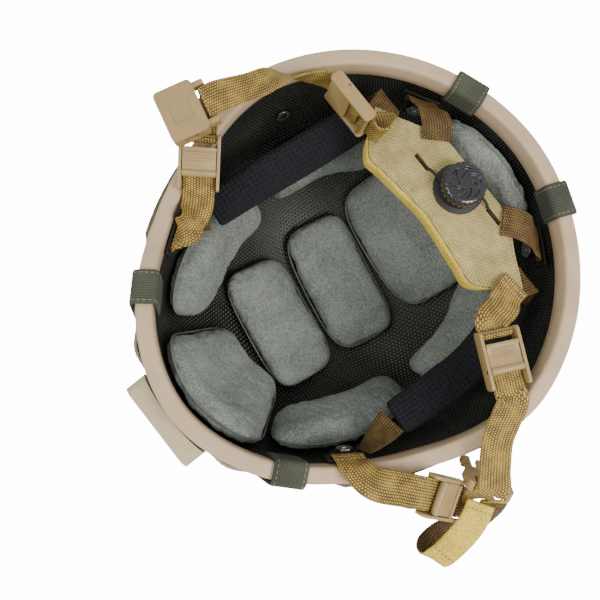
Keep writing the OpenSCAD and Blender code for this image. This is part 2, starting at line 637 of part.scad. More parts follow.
function from_bracket(s) =
  [for (p = [[8, 1.2], [12, 1.5]])
    [out_of(s, [0, p[0], bracket_top - bracket_t - p[1]]), s[1]]];
front_left_route = concat(
  [for (p = from_bracket(anchor_seats[1])) [p[0], -p[1]]],
  [[[-80.5, -68, ear_h - 1], [-0.6, 0.8, 0]], [[-81, -59, ear_h + 1.5], [-0.75, 0.45, 0.5]]],
  through(front_left, [-23, -6, 8]));
module front_strap_left() color("#a98b4a") ribbon(front_left_route, steps = 3);
front_right_route = concat(
  from_bracket(anchor_seats[0]),
  [[[87, -71, ear_h + 4], [0.66, 0.75, 0.1]], [[99, -69.5, ear_h + 10], [0.6, 0.8, 0.1]],
   [[111, -60, ear_h + 11.5], [0.55, 0.83, 0]]],
  through(front_right, [-19, -6, 8]));
module front_strap_right() color("#a98b4a") ribbon(front_right_route, steps = 3);

socket_link_route = concat(
  reversed(round_bar(front_left, bar_x, 6, -1)),
  [[[-124.6, -15.4, ear_h + 19], [-0.97, 0.24, 0]], [[-125.2, -12.8, ear_h + 23.9], [-0.97, 0.24, 0]]]);
module socket_link() color("#a98b4a") ribbon(socket_link_route, steps = 2);
plug_link_route = concat(
  reversed(round_bar(front_right, bar_x, 4, 1)),
  [[[148.8, -29.5, ear_h - 7], [0.1, 0.95, 0.2]], [[148.2, -24.8, ear_h - 1.5], [0.7, 0.7, 0]],
   [[147.6, -22.2, ear_h + 1.5], [0.84, 0.54, 0]]]);
module plug_link() color("#a98b4a") ribbon(plug_link_route, steps = 2);

// x towards the mouth, y across, origin at the bar
module buckle_socket() color("#b9ab92") in_frame(socket_at) difference() {
  w = buckle_w;
  l = socket_l - 2.6;
  wall = 1.8;
  union() {
    translate([(l + 4.5) / 2, 0, 0]) linear_extrude(height = socket_t, center = true)
      rounded(l - 4.5, w, 3);
    for (side = [-1, 1]) translate([3.5, side * (half_in + 1.6), 0])
      linear_extrude(height = 5.6, center = true) rounded(11, 3.2, 1.5);
    webbing_bar();
  }
  translate([7, -w / 2 + 3.2, -socket_t / 2 + wall]) cube([l, w - 6.4, socket_t - 2 * wall]);
  // Windows for the plug's side arms
  translate([13, -w, -socket_t / 2 + wall]) cube([8, 2 * w, socket_t - 2 * wall]);
  // Ribs' valley on both faces
  for (side = [-1, 1]) translate([10, -6, side * socket_t / 2 - 0.5]) cube([12, 12, 1]);
}

module buckle_plug() color("#b9ab92") in_frame(plug_at) {
  difference() {
    translate([5.5, 0, 0]) linear_extrude(height = 6.4, center = true) rounded(16, buckle_w - 3, 3);
    translate([0.2, 0, 0]) linear_extrude(height = 20, center = true)
      square([8.4, 2 * half_in], center = true);
  }
  webbing_bar();
  // Guide tongue and two side arms with their catches
  translate([12.5, -3, -1.5]) cube([13, 6, 3]);
  for (side = [-1, 1]) {
    translate([13, side * 9.5 - 1.2, -2.2]) cube([12, 2.4, 4.4]);
    translate([18, side * 11.3 - 1.9, -2.2]) cube([7, 3.8, 4.4]);
  }
}

// Chin strap: a flattened loop beside the right front of the rim
chin_route = [
  [[150.6, -27.2, ear_h + 3.7], [0.84, 0.54, 0]], [[157, -38.5, ear_h], [0.94, 0.31, 0]],
  [[162.5, -55, ear_h - 8.5], [0.92, 0.36, 0]], [[164, -66, ear_h - 16.5], [0.92, 0.36, 0]],
  [[160, -64, ear_h - 24.5], [0.92, 0.36, 0]],
  [[161, -50, ear_h - 26.5], [0.92, 0.3, -0.1]], [[167, -37, ear_h - 23.5], [0.85, 0.25, -0.4]],
  [[166, -24, ear_h - 16.5], [0.75, 0.05, -0.6]], [[159.5, -18, ear_h - 7], [0.8, 0.3, -0.4]]
];
module chin_strap() color("#cdb96a") ribbon(chin_route, chin_w, chin_t, 3);

// Padded sleeves and the webbing that runs out of their ends
sleeve_left_route = [[-85, -41.5, ear_h - 22.5], [-82.6, -13.3, ear_h - 17.5], [-79, 15.6, nape_z - 28],
                     [-74.8, 48, nape_z - 22], [-72, 76, nape_z - 17]];
sleeve_right_route = [[87.5, -31, ear_h - 22.5], [90, -5, ear_h - 19.5], [91, 26, nape_z - 32],
                      [85.5, 51, nape_z - 27], [76, 71, nape_z - 21.5]];
function routed(points, w) = [for (p = points) [p, w]];
sleeve_section = [for (i = [0:11])
  let (t = i * 30) [corner(cos(t), 0.6) * sleeve_w / 2, corner(sin(t), 0.7) * sleeve_t / 2]];
module sleeve(points, lean) color("#141824") {
  path = dense(routed(points, lean), 4);
  n = len(path) - 1;
  skin(carried(path, sleeve_section, [for (i = [0:n]) 0.72 + 0.28 * pow(sin(180 * i / n), 0.3)]));
}
module sleeve_left() sleeve(sleeve_left_route, [-1, 0, 0.45]);
module sleeve_right() sleeve(sleeve_right_route, [1, 0.2, 0.45]);
// Height of webbing sewn under the nape pad
nape_under = nape_z - nape_t / 2 - web_t / 2 - 0.1;
function beside_bracket(s, side) = [out_of(s, [side * 12, -1, bracket_top - bracket_t / 2 - 0.6]), s[2]];
sleeve_lead_right = [
  beside_bracket(anchor_seats[0], 1), [[88.7, -50, ear_h - 20], [0.5, 0, 0.85]],
  [[87.6, -33.8, ear_h - 22.3], [1, 0, 0.45]]
];
sleeve_lead_left = [
  beside_bracket(anchor_seats[1], -1), [[-87.2, -52.3, ear_h - 20.1], [-0.45, 0, 0.9]],
  [[-85, -45, ear_h - 22.4], [-1, 0, 0.45]]
];
sleeve_tail_left = [
  [[-71.9, 77.2, nape_z - 16.8], [-1, 0, 0.3]], [[-71, 83.2, nape_z - 14.4], [-1, 0, 0.1]],
  [[-70, 85.6, nape_z - 10], [-1, 0, 0]], [[-68.5, 82, nape_under - 1], [-1, 0, 0]],
  [[-66.5, 75, nape_under - 0.2], [-1, 0, 0]], [[-65, 68, nape_under], [-1, 0, 0]]
];
sleeve_tail_right = [
  [[75.4, 72.7, nape_z - 21.1], [1, 0.25, 0.3]], [[73.2, 79, nape_z - 18.5], [1, 0.2, 0.1]],
  [[71.5, 82.8, nape_z - 13.5], [1, 0.1, 0]], [[69.8, 81, nape_under - 3], [1, 0, 0]],
  [[67.5, 75, nape_under - 0.2], [1, 0, 0]], [[65.5, 68, nape_under], [1, 0, 0]]
];
module sleeve_webbing() color("#6a4a25") {
  ribbon(sleeve_lead_right, steps = 2);
  ribbon(sleeve_lead_left, steps = 2);
  ribbon(sleeve_tail_left, steps = 2);
  ribbon(sleeve_tail_right, steps = 2);
}

// Nape pad: stations from the middle to the right tip, [outer x, outer y, inner x, inner y]
nape_stations = [[0, 93, 0, 51], [12, 93.3, 12, 50], [24, 93.3, 24, 48.5], [34, 92, 36, 47],
                 [47, 83.5, 46, 45.5], [60, 76, 54, 50.5], [nape_half_w, 70, 61, 59]];
nape_pairs = concat(
  [for (i = [len(nape_stations) - 1:-1:1]) let (s = nape_stations[i]) [[-s[0], s[1]], [-s[2], s[3]]]],
  [for (s = nape_stations) [[s[0], s[1]], [s[2], s[3]]]]);
nape_section = [[-1, 0], [-0.97, 0.35], [-0.88, 0.5], [0, 0.5], [0.88, 0.5], [0.97, 0.35], [1, 0],
                [0.97, -0.35], [0.88, -0.5], [0, -0.5], [-0.88, -0.5], [-0.97, -0.35]];
dial_at = [0, 77, nape_z + nape_t / 2 + seat_gap];
lace_y = spool_d / 2 + lace_d / 2 + 0.1;
slit_x = 20;
slit_l = 12;
module nape_pad() color("#b5a878") difference() {
  skin([for (q = nape_pairs)
    let (mid = (q[0] + q[1]) / 2, half = (q[1] - q[0]) / 2)
    [for (p = nape_section) [mid.x + half.x * p[0], mid.y + half.y * p[0], nape_z + nape_t * p[1]]]]);
  // Slits where the lace goes in
  for (side = [-1, 1]) translate([side * (slit_x + slit_l / 2), dial_at.y + side * lace_y, nape_z + nape_t / 2])
    cube([slit_l, lace_d + 1.2, 9], center = true);
}
module nape_binding() color("#d8c25a") skin([for (q = nape_pairs)
  let (out = unit(q[1] - q[0]))
  [for (p = [[0.3, -4.4], [0.3, 4.4], [1.2, 4.5], [2, 3.7], [2.4, 0], [2, -3.7], [1.2, -4.5]])
    [q[1].x + out.x * p[0], q[1].y + out.y * p[0], nape_z + p[1]]]]);

// Dial: base, spool, knob and lace, turning about an upright axis
base_h = 5.2;
well_r = 8.2;
post_r = 1.4;
stem_r = 2.5;
// The stem is out of the spool before the knob is fully pulled
stem_l = dial_pull - 0.4;
spool_h = 3;
spool_z = 1.8;
lace_z = spool_z + spool_h / 2;
module at_dial() { translate(dial_at) children(); }
module dial_base() color("#1f2024") at_dial() {
  difference() {
    union() {
      cylinder(h = 1.5, d = base_d, $fn = 96);
      cylinder(h = base_h, d = base_d - 6, $fn = 96);
    }
    translate([0, 0, 1.5]) cylinder(h = 10, r = well_r, $fn = 64);
    for (turn = [0, 180]) rotate(turn) translate([0, lace_y, lace_z]) rotate([0, 90, 0])
      cylinder(h = 30, d = lace_d + 0.8, $fn = 24);
  }
  cylinder(h = spool_z + 1.2, r = post_r, $fn = 32);
}
module dial_spool() color("#c9c9c4") at_dial() translate([0, 0, spool_z]) difference() {
  flange = 0.5;
  union() {
    cylinder(h = spool_h, d = spool_d, $fn = 48);
    for (z = [0, spool_h - flange]) translate([0, 0, z]) cylinder(h = flange, r = well_r - 0.3, $fn = 64);
  }
  translate([0, 0, -1]) cylinder(h = 2.4, r = post_r + pin_run, $fn = 32);
  translate([0, 0, 1.4]) cylinder(h = 4, r = stem_r + pin_run, $fn = 32);
}
grips = 24;
module dial_knob() color("#2a2b31") at_dial() translate([0, 0, base_h + seat_gap]) {
  difference() {
    rotate_extrude($fn = 120) polygon([
      [0, 0], [dial_d / 2 - 1.2, 0], [dial_d / 2, 1.2], [dial_d / 2, dial_h - 2.6],
      [dial_d / 2 - 0.8, dial_h - 1], [dial_d / 2 - 2.2, dial_h - 0.2], [dial_d / 2 - 3.6, dial_h],
      [0, dial_h]
    ]);
    for (i = [0:grips - 1]) rotate(i * 360 / grips) translate([dial_d / 2 + 0.6, 0, -1])
      cylinder(h = dial_h + 2, d = 2.2, $fn = 16);
    // Spiral hollows between the vanes on the top
    for (i = [0:5]) rotate(i * 60) translate([6.5, 3, dial_h - 0.7]) cylinder(h = 2, d = 4.6, $fn = 24);
  }
  translate([0, 0, -stem_l]) cylinder(h = stem_l + 0.1, r = stem_r, $fn = 32);
}
// Lace from the spool down into its slit: [x, height over the spool's middle]
lace_route = [[0.5, 0], [8, 0], [14, 0], [17.5, -0.6], [20, -2.4], [22.5, -4.6], [25.5, -5.6], [30, -5.8]];
module dial_lace() color("#151515") at_dial() for (turn = [0, 180]) rotate(turn) {
  ring = [for (i = [0:7]) [cos(45 * i), sin(45 * i)] * lace_d / 2];
  path = [for (p = lace_route) [[p[0], lace_y, lace_z + p[1]], [0, 1, 0]]];
  skin(carried(path, ring, [for (p = path) 1]));
}

shell();
edge_trim();
cover();
cover_tab_front_left();
cover_tab_front_right();
cover_tab_rear_left();
cover_tab_rear_right();
rear_loop_panel();
front_shroud();
shroud_screws();
side_rail_left();
side_rail_right();
rail_screws();
anchor_brackets();
anchor_bolts();
inner_nuts();
hook_discs();
forehead_pad();
front_pad_left();
front_pad_right();
rear_pad_left();
rear_pad_right();
crown_pad_front();
crown_pad_middle();
crown_pad_rear();
nape_rest_pad();
sleeve_left();
sleeve_right();
sleeve_webbing();
nape_pad();
nape_binding();
dial_base();
dial_spool();
dial_knob();
dial_lace();
rear_strap_left();
rear_strap_right();
nape_link_left();
nape_link_right();
side_strap_left();
side_strap_right();
front_strap_left();
front_strap_right();
socket_link();
plug_link();
slider_rear_left();
slider_rear_right();
slider_front_left();
slider_front_right();
lever_rear_left();
lever_rear_right();
lever_front_left();
lever_front_right();
slider_pin_rear_left();
slider_pin_rear_right();
slider_pin_front_left();
slider_pin_front_right();
buckle_socket();
buckle_plug();
chin_strap();
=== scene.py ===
"""Looks of a combat helmet with a dial-fit harness, lying on its crown.

Sizes and routes are millimetres, in the part's own frame: the brow towards -Y,
the wearer's right towards +X, up +Z. Meshes are made in metres.
"""

import json
import logging
import math
from dataclasses import dataclass
from enum import Enum

import bmesh
import bpy
import numpy as np
from mathutils import Matrix, Vector, noise

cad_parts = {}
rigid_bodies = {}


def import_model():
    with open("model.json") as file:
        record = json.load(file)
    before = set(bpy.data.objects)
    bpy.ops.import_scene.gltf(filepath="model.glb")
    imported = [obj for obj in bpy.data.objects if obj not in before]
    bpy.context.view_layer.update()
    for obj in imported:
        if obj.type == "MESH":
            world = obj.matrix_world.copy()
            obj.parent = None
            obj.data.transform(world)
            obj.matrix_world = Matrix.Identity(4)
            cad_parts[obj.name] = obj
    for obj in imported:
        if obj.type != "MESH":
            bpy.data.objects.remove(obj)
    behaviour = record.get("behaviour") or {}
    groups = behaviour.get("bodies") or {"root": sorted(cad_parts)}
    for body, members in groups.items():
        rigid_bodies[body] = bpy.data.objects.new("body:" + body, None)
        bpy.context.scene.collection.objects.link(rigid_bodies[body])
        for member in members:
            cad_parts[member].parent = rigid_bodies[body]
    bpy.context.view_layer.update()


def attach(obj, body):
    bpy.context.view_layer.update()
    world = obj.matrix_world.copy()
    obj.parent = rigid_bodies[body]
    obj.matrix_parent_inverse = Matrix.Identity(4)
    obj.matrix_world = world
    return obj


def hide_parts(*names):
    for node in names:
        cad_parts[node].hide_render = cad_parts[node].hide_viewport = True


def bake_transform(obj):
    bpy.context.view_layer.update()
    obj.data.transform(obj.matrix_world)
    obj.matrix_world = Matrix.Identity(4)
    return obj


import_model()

LOG = logging.getLogger("helmet")
MM = 0.001
DEGREES = 57.3
UV_NAME = "cloth"
Array = np.ndarray
Route = list[tuple[list[float], list[float]]]


class Side(Enum):
    """The wearer's left or right, as a sign of x."""

    LEFT = -1
    RIGHT = 1


# Small maths


def unit(v: Array) -> Array:
    """A vector of length 1 along v."""
    v = np.asarray(v, float)
    return v / np.linalg.norm(v)


def units(rows: Array) -> Array:
    """Each row as a vector of length 1."""
    return rows / np.linalg.norm(rows, axis=1, keepdims=True)


def smooth(x: Array) -> Array:
    """An even ramp from 0 to 1."""
    q = np.clip(x, 0, 1)
    return q * q * (3 - 2 * q)


def squared(wave: Array, power: float) -> Array:
    """A sine or cosine drawn towards its ends, which squares a round outline."""
    return np.sign(wave) * np.abs(wave) ** power


def angles(count: int) -> Array:
    """Even angles round a circle, in radians."""
    return np.arange(count) * 2 * math.pi / count


def run_lengths(line: Array) -> Array:
    """How far along a line each of its points lies."""
    return np.concatenate([[0], np.cumsum(np.linalg.norm(np.diff(line, axis=0), axis=1))])


def ripple(f: Array, waves: tuple) -> Array:
    """A sum of waves round the rim, each given by its count, its start in degrees and its height."""
    return sum(high * np.sin(np.radians(f * count + start)) for count, start, high in waves)


def closed(line: Array) -> Array:
    """A line that comes back to its first point."""
    return np.concatenate([line, line[:1]])


def hollows(points: Array, scale: float, rough: float = 0.8) -> Array:
    """Broad, uneven hollows and swells at each point, about -1 to 1."""
    return np.array([noise.fractal(Vector(p) * scale, rough, 2.0, 3) for p in points])


def creases(points: Array, scale: float, shift: tuple[float, float, float]) -> Array:
    """Narrow creases at each point: 1 on a crease's line, less beside it."""
    return np.array([1 - 3 * abs(noise.noise(Vector(p) * scale + Vector(shift))) for p in points])


@dataclass(frozen=True)
class Place:
    """A local frame: origin, direction of x, and a direction near y."""

    origin: tuple[float, float, float]
    along: tuple[float, float, float]
    near: tuple[float, float, float]

    def axes(self) -> tuple[Array, Array, Array]:
        """The frame's three directions.

        Returns:
            Unit vectors along x, y and z.
        """
        x = unit(self.along)
        z = unit(np.cross(x, self.near))
        return x, np.cross(z, x), z

    def out(self, x: float, y: float, z: float) -> Array:
        """A local point in the part's frame."""
        ax, ay, az = self.axes()
        return np.asarray(self.origin, float) + ax * x + ay * y + az * z

    def across(self) -> Array:
        """The frame's y."""
        return self.axes()[1]


# Meshes


def linked(name: str, mesh: bpy.types.Mesh) -> bpy.types.Object:
    """A mesh as a new object in the scene.

    Args:
        name: The piece's name.
        mesh: Its mesh.

    Returns:
        The object, at the origin.
    """
    piece = bpy.data.objects.new(name, mesh)
    bpy.context.scene.collection.objects.link(piece)
    return piece


def mesh_piece(name: str, points: Array, faces: list, uvs: Array | None = None) -> bpy.types.Object:
    """A smooth-shaded mesh object at the origin.

    Args:
        name: The piece's name.
        points: Corners in millimetres, one row each.
        faces: Lists of corner numbers.
        uvs: Place on the cloth in metres for each face corner, in the faces' order.

    Returns:
        The new object, linked to the scene.
    """
    mesh = bpy.data.meshes.new(name)
    mesh.from_pydata((np.asarray(points, float) * MM).tolist(), [], [list(map(int, f)) for f in faces])
    if uvs is not None:
        layer = mesh.uv_layers.new(name=UV_NAME)
        layer.data.foreach_set("uv", np.asarray(uvs, np.float32).ravel())
    mesh.polygons.foreach_set("use_smooth", [True] * len(mesh.polygons))
    mesh.validate()
    mesh.update()
    return linked(name, mesh)


def corners(piece: bpy.types.Object) -> Array:
    """A piece's corners in metres, one row each."""
    return np.array([v.co for v in piece.data.vertices])


def set_corners(piece: bpy.types.Object, places: Array) -> None:
    """Moves a piece's corners to places in metres."""
    piece.data.vertices.foreach_set("co", places.astype(np.float32).ravel())
    piece.data.update()


def push(piece: bpy.types.Object, depths: Array) -> None:
    """Moves each corner of a piece outwards by its own depth in millimetres."""
    normals = np.array([v.normal for v in piece.data.vertices])
    set_corners(piece, corners(piece) + normals * (depths * MM)[:, None])


def grid(rings: Array, wrap_rows: bool, uv: Array | None = None) -> tuple[Array, list, Array | None]:
    """Quads over rings of points, each ring closed.

    Args:
        rings: Points of shape (rows, columns, 3).
        wrap_rows: Whether the last ring joins the first.
        uv: Cloth places, with one column more than the rings, and one row more if they wrap.

    Returns:
        The points, the faces, and the cloth place of each face corner.
    """
    n, m = rings.shape[:2]
    a, b = np.meshgrid(np.arange(n if wrap_rows else n - 1), np.arange(m), indexing="ij")
    a, b = a.ravel(), b.ravel()
    corner_rows = np.stack([a, a, a + 1, a + 1], axis=1)
    corner_columns = np.stack([b, b + 1, b + 1, b], axis=1)
    faces = (corner_rows % n) * m + corner_columns % m
    flat_uv = None if uv is None else uv[corner_rows, corner_columns].reshape(-1, 2)
    return rings.reshape(-1, 3), faces.tolist(), flat_uv


def fans(rows: int, columns: int) -> list[list[int]]:
    """Triangles that close a grid's first and last rings.

    Args:
        rows: Rings in the grid.
        columns: Points in a ring.

    Returns:
        The faces, round two points that follow the grid's own.
    """
    tip, last = rows * columns, (rows - 1) * columns
    first_fan = [[tip, i, (i + 1) % columns] for i in range(columns)]
    return first_fan + [[tip + 1, last + (i + 1) % columns, last + i] for i in range(columns)]


def outward(piece: bpy.types.Object, merge: bool = False) -> None:
    """Turns every face of a closed piece outwards.

    Args:
        piece: The piece.
        merge: Whether loose triangles are first joined, and flats made one face each.
    """
    bm = bmesh.new()
    bm.from_mesh(piece.data)
    if merge:
        bmesh.ops.remove_doubles(bm, verts=bm.verts, dist=2e-6)
        bmesh.ops.dissolve_limit(bm, angle_limit=math.radians(1.0), verts=bm.verts, edges=bm.edges)
    bmesh.ops.recalc_face_normals(bm, faces=bm.faces)
    bm.to_mesh(piece.data)
    bm.free()


def swept(name: str, rings: Array, uv: Array | None = None, wrap: bool = False) -> bpy.types.Object:
    """A closed tube through rings of points.

    Args:
        name: The piece's name.
        rings: Points of shape (rows, columns, 3), in millimetres.
        uv: Cloth places in metres, as grid takes them.
        wrap: Whether the tube joins up with itself; otherwise its ends are flat.

    Returns:
        The piece.
    """
    points, faces, flat_uv = grid(rings, wrap, uv)
    n, m = rings.shape[:2]
    if not wrap:
        faces += [list(range(m - 1, -1, -1)), [(n - 1) * m + i for i in range(m)]]
        if flat_uv is not None:
            flat_uv = np.concatenate([flat_uv, uv[0, m - 1 :: -1], uv[n - 1, :m]])
    piece = mesh_piece(name, points, faces, flat_uv)
    outward(piece)
    return piece


def cup(name: str, rings: Array, tips: Array) -> bpy.types.Object:
    """A piece turned round a middle, closed by a point at each end, its cloth laid out from the middle.

    Args:
        name: The piece's name.
        rings: Rings from one tip to the other, in millimetres.
        tips: The two end points.

    Returns:
        The piece.
    """
    n, m = rings.shape[:2]
    run = run_lengths(rings[:, 0])
    reach = np.minimum(run, run[-1] - run) * MM
    turn = np.linspace(0, 2 * math.pi, m + 1)
    uv = reach[:, None, None] * np.stack([np.cos(turn), np.sin(turn)], axis=1)[None]
    points, faces, flat_uv = grid(rings, False, uv)
    middle = np.zeros(2)
    ends = [corner for j in range(m) for corner in (middle, uv[0, j], uv[0, j + 1])]
    ends += [corner for j in range(m) for corner in (middle, uv[n - 1, j + 1], uv[n - 1, j])]
    flat_uv = np.concatenate([flat_uv, np.array(ends)])
    piece = mesh_piece(name, np.concatenate([points, np.array(tips)]), faces + fans(n, m), flat_uv)
    outward(piece)
    return piece


def ringed(middles: Array, across: Array, thick: Array, u: Array, v: Array) -> Array:
    """Section points along a line.

    Args:
        middles: The line's points.
        across: Unit direction across it at each point.
        thick: Unit direction through it at each point.
        u: How far across each section point lies, for all points of the line or row by row.
        v: The same through the thickness.

    Returns:
        Rings of points.
    """
    return middles[:, None] + across[:, None] * u[..., None] + thick[:, None] * v[..., None]


def laid_out(lengths: Array, girth: Array) -> Array:
    """Cloth places in metres, by length along a piece and by way round it."""
    return np.stack(np.meshgrid(lengths * MM, girth * MM, indexing="ij"), axis=-1)


def outline(shares: tuple, highs: tuple) -> tuple[Array, Array]:
    """A flat section's whole outline from its upper face.

    Args:
        shares: Shares of the half width over the upper face, from -1 to just before 1.
        highs: Shares of the thickness there.

    Returns:
        The same two shares round the whole section.
    """
    lower = [-h for h in highs[:0:-1]]
    return np.array([*shares, 1, *shares[:0:-1]]), np.array([*highs, 0, *lower])


def applied(piece: bpy.types.Object) -> bpy.types.Object:
    """Replaces a piece's modifiers by their result.

    Args:
        piece: The piece.

    Returns:
        The same piece, with a plain mesh.
    """
    bpy.context.view_layer.update()
    result = bpy.data.meshes.new_from_object(piece.evaluated_get(bpy.context.evaluated_depsgraph_get()))
    piece.modifiers.clear()
    piece.data = result
    return piece


def dress(piece: bpy.types.Object, finish: "Finish", nodes: tuple[str, ...] = ()) -> None:
    """Gives a piece its finish, and reports it.

    Args:
        piece: The piece.
        finish: Its finish.
        nodes: The CAD nodes that it stands for.
    """
    piece.data.materials.clear()
    piece.data.materials.append(finish.material())
    if nodes:
        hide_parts(*nodes)
    LOG.info("%s: %s, %d faces", piece.name, finish.name, len(piece.data.polygons))


def hand_over(
    piece: bpy.types.Object, body: str, finish: "Finish", nodes: tuple[str, ...] = ()
) -> None:
    """Dresses a piece and lets it ride on a body."""
    dress(piece, finish, nodes)
    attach(piece, body)


# Finishes


def linear(colour: str) -> tuple[float, float, float, float]:
    """An sRGB hex colour as linear red, green, blue and alpha."""
    parts = [int(colour[i : i + 2], 16) / 255 for i in (1, 3, 5)]
    return (*[c / 12.92 if c <= 0.04045 else ((c + 0.055) / 1.055) ** 2.4 for c in parts], 1.0)


def add(tree: bpy.types.NodeTree, kind: str, links: dict | None = None, **settings: object) -> bpy.types.Node:
    """Adds a node.

    Args:
        tree: The tree that takes it.
        kind: The node's type.
        links: For each input, by name or number, a socket to link or a value to set.
        settings: The node's own properties.

    Returns:
        The new node.
    """
    made = tree.nodes.new(kind)
    for key, value in settings.items():
        setattr(made, key, value)
    for key, value in (links or {}).items():
        if isinstance(value, bpy.types.NodeSocket):
            tree.links.new(value, made.inputs[key])
        else:
            made.inputs[key].default_value = value
    return made


@dataclass(frozen=True)
class Finish:
    """A finish with two tones that a pattern mixes.

    The pattern's own class draws its height, and this one joins the colour, gloss and bump.
    """

    name: str
    tone: str
    deep: str
    rough: float = 0.6
    bump_mm: float = 0.1
    sheen: float = 0.0
    mottle: float = 0.35
    mottle_mm: float = 30.0

    def material(self) -> bpy.types.Material:
        """The finish's material, made at its first use.

        Returns:
            The material.
        """
        title = f"real_{self.name}"
        found = bpy.data.materials.get(title)
        if found:
            return found
        made = bpy.data.materials.new(title)
        made.use_nodes = True
        self.paint(made.node_tree, made.node_tree.nodes["Principled BSDF"])
        return made

    def height(self, tree: bpy.types.NodeTree) -> bpy.types.NodeSocket:
        """The pattern's height, from 0 to 1: here the fine grain of a moulded surface."""
        grain = {"Vector": add(tree, "ShaderNodeTexCoord").outputs["Object"], "Scale": 900.0, "Detail": 3.0}
        return add(tree, "ShaderNodeTexNoise", grain).outputs["Fac"]

    def paint(self, tree: bpy.types.NodeTree, shader: bpy.types.Node) -> None:
        """Joins tones, pattern and bump to the shader.

        Args:
            tree: The material's tree.
            shader: Its Principled shader.
        """
        place = add(tree, "ShaderNodeTexCoord").outputs["Object"]
        height = self.height(tree)
        blotches = {"Vector": place, "Scale": 1000.0 / self.mottle_mm, "Detail": 4.0}
        blotch = add(tree, "ShaderNodeTexNoise", blotches).outputs["Fac"]
        limits = {0: blotch, 1: 0.3, 2: 0.7, 3: -self.mottle, 4: self.mottle}
        spread = add(tree, "ShaderNodeMapRange", limits).outputs[0]
        share = add(tree, "ShaderNodeMath", {0: height, 1: spread}, operation="ADD", use_clamp=True)
        # Low places of the pattern take the deep tone and crowns the main tone: on the webbing this paints
        # shade between the ribs and highlights on them, on the shell glints on its dots
        tones = {"Factor": share.outputs[0], 6: linear(self.deep), 7: linear(self.tone)}
        mix = add(tree, "ShaderNodeMix", tones, data_type="RGBA")
        tree.links.new(mix.outputs[2], shader.inputs["Base Color"])
        shader.inputs["Roughness"].default_value = self.rough
        if self.sheen:
            shader.inputs["Sheen Weight"].default_value = self.sheen
            shader.inputs["Sheen Roughness"].default_value = 0.5
            shader.inputs["Sheen Tint"].default_value = linear(self.tone)
        if self.bump_mm:
            relief = {"Height": height, "Distance": self.bump_mm * MM, "Strength": 1.0}
            tree.links.new(add(tree, "ShaderNodeBump", relief).outputs[0], shader.inputs["Normal"])


@dataclass(frozen=True)
class Woven(Finish):
    """Threads over and under each other; each row is moved on by a share of a thread.

    The real pitch is near 0.7 mm, and it is drawn coarser so that it shows.
    """

    along_mm: float = 1.3
    across_mm: float = 1.7
    step: float = 0.5
    crown: float = 0.6

    def height(self, tree: bpy.types.NodeTree) -> bpy.types.NodeSocket:
        """Rounded thread crowns.

        Args:
            tree: The material's tree.

        Returns:
            The height, from 0 to 1.
        """
        uv = add(tree, "ShaderNodeUVMap", uv_map=UV_NAME).outputs[0]
        parts = add(tree, "ShaderNodeSeparateXYZ", {0: uv}).outputs
        along, across = (
            add(tree, "ShaderNodeMath", {0: part, 1: 1000 / pitch}, operation="MULTIPLY").outputs[0]
            for part, pitch in zip(parts, (self.along_mm, self.across_mm))
        )
        row = add(tree, "ShaderNodeMath", {0: across}, operation="FLOOR").outputs[0]
        moving = {0: row, 1: self.step, 2: along}
        moved = add(tree, "ShaderNodeMath", moving, operation="MULTIPLY_ADD").outputs[0]
        crowns = []
        for count in (moved, across):
            share = add(tree, "ShaderNodeMath", {0: count}, operation="FRACT").outputs[0]
            turn = add(tree, "ShaderNodeMath", {0: share, 1: math.pi}, operation="MULTIPLY").outputs[0]
            sine = add(tree, "ShaderNodeMath", {0: turn}, operation="SINE").outputs[0]
            crowns.append(add(tree, "ShaderNodeMath", {0: sine, 1: self.crown}, operation="POWER").outputs[0])
        return add(tree, "ShaderNodeMath", {0: crowns[0], 1: crowns[1]}, operation="MULTIPLY").outputs[0]


@dataclass(frozen=True)
class Dimpled(Finish):
    """Spacer mesh: round hollows in rows, a little uneven."""

    pitch_mm: float = 3.0
    unevenness: float = 0.25

    def height(self, tree: bpy.types.NodeTree) -> bpy.types.NodeSocket:
        """Hollows around the points of a slightly shaken grid.

        Args:
            tree: The material's tree.

        Returns:
            The height, from 0 to 1.
        """
        uv = add(tree, "ShaderNodeUVMap", uv_map=UV_NAME).outputs[0]
        spots = {"Vector": uv, "Scale": 1000 / self.pitch_mm, "Randomness": self.unevenness}
        away = add(tree, "ShaderNodeTexVoronoi", spots).outputs["Distance"]
        return add(tree, "ShaderNodeMapRange", {0: away, 1: 0.12, 2: 0.5, 3: 0.0, 4: 1.0}).outputs[0]


@dataclass(frozen=True)
class Napped(Finish):
    """Brushed or pile cloth: soft specks of the nap's own size."""

    speck_mm: float = 1.1
    contrast: float = 0.5

    def height(self, tree: bpy.types.NodeTree) -> bpy.types.NodeSocket:
        """Specks, spread to full contrast.

        Args:
            tree: The material's tree.

        Returns:
            The height, from 0 to 1.
        """
        place = add(tree, "ShaderNodeTexCoord").outputs["Object"]
        grain = {"Vector": place, "Scale": 1000 / self.speck_mm, "Detail": 2.0, "Roughness": 0.7}
        specks = add(tree, "ShaderNodeTexNoise", grain).outputs["Fac"]
        low = 0.5 - self.contrast / 4
        return add(tree, "ShaderNodeMapRange", {0: specks, 1: low, 2: 1 - low, 3: 0.0, 4: 1.0}).outputs[0]


@dataclass(frozen=True)
class Polished(Finish):
    """Metal, or glossy plastic, with a faint grain in its gloss."""

    metal: float = 0.0
    coat: float = 0.0

    def paint(self, tree: bpy.types.NodeTree, shader: bpy.types.Node) -> None:
        """Adds the metal and coat to the common paint.

        Args:
            tree: The material's tree.
            shader: Its Principled shader.
        """
        super().paint(tree, shader)
        shader.inputs["Metallic"].default_value = self.metal
        shader.inputs["Coat Weight"].default_value = self.coat
        shader.inputs["Coat Roughness"].default_value = 0.12


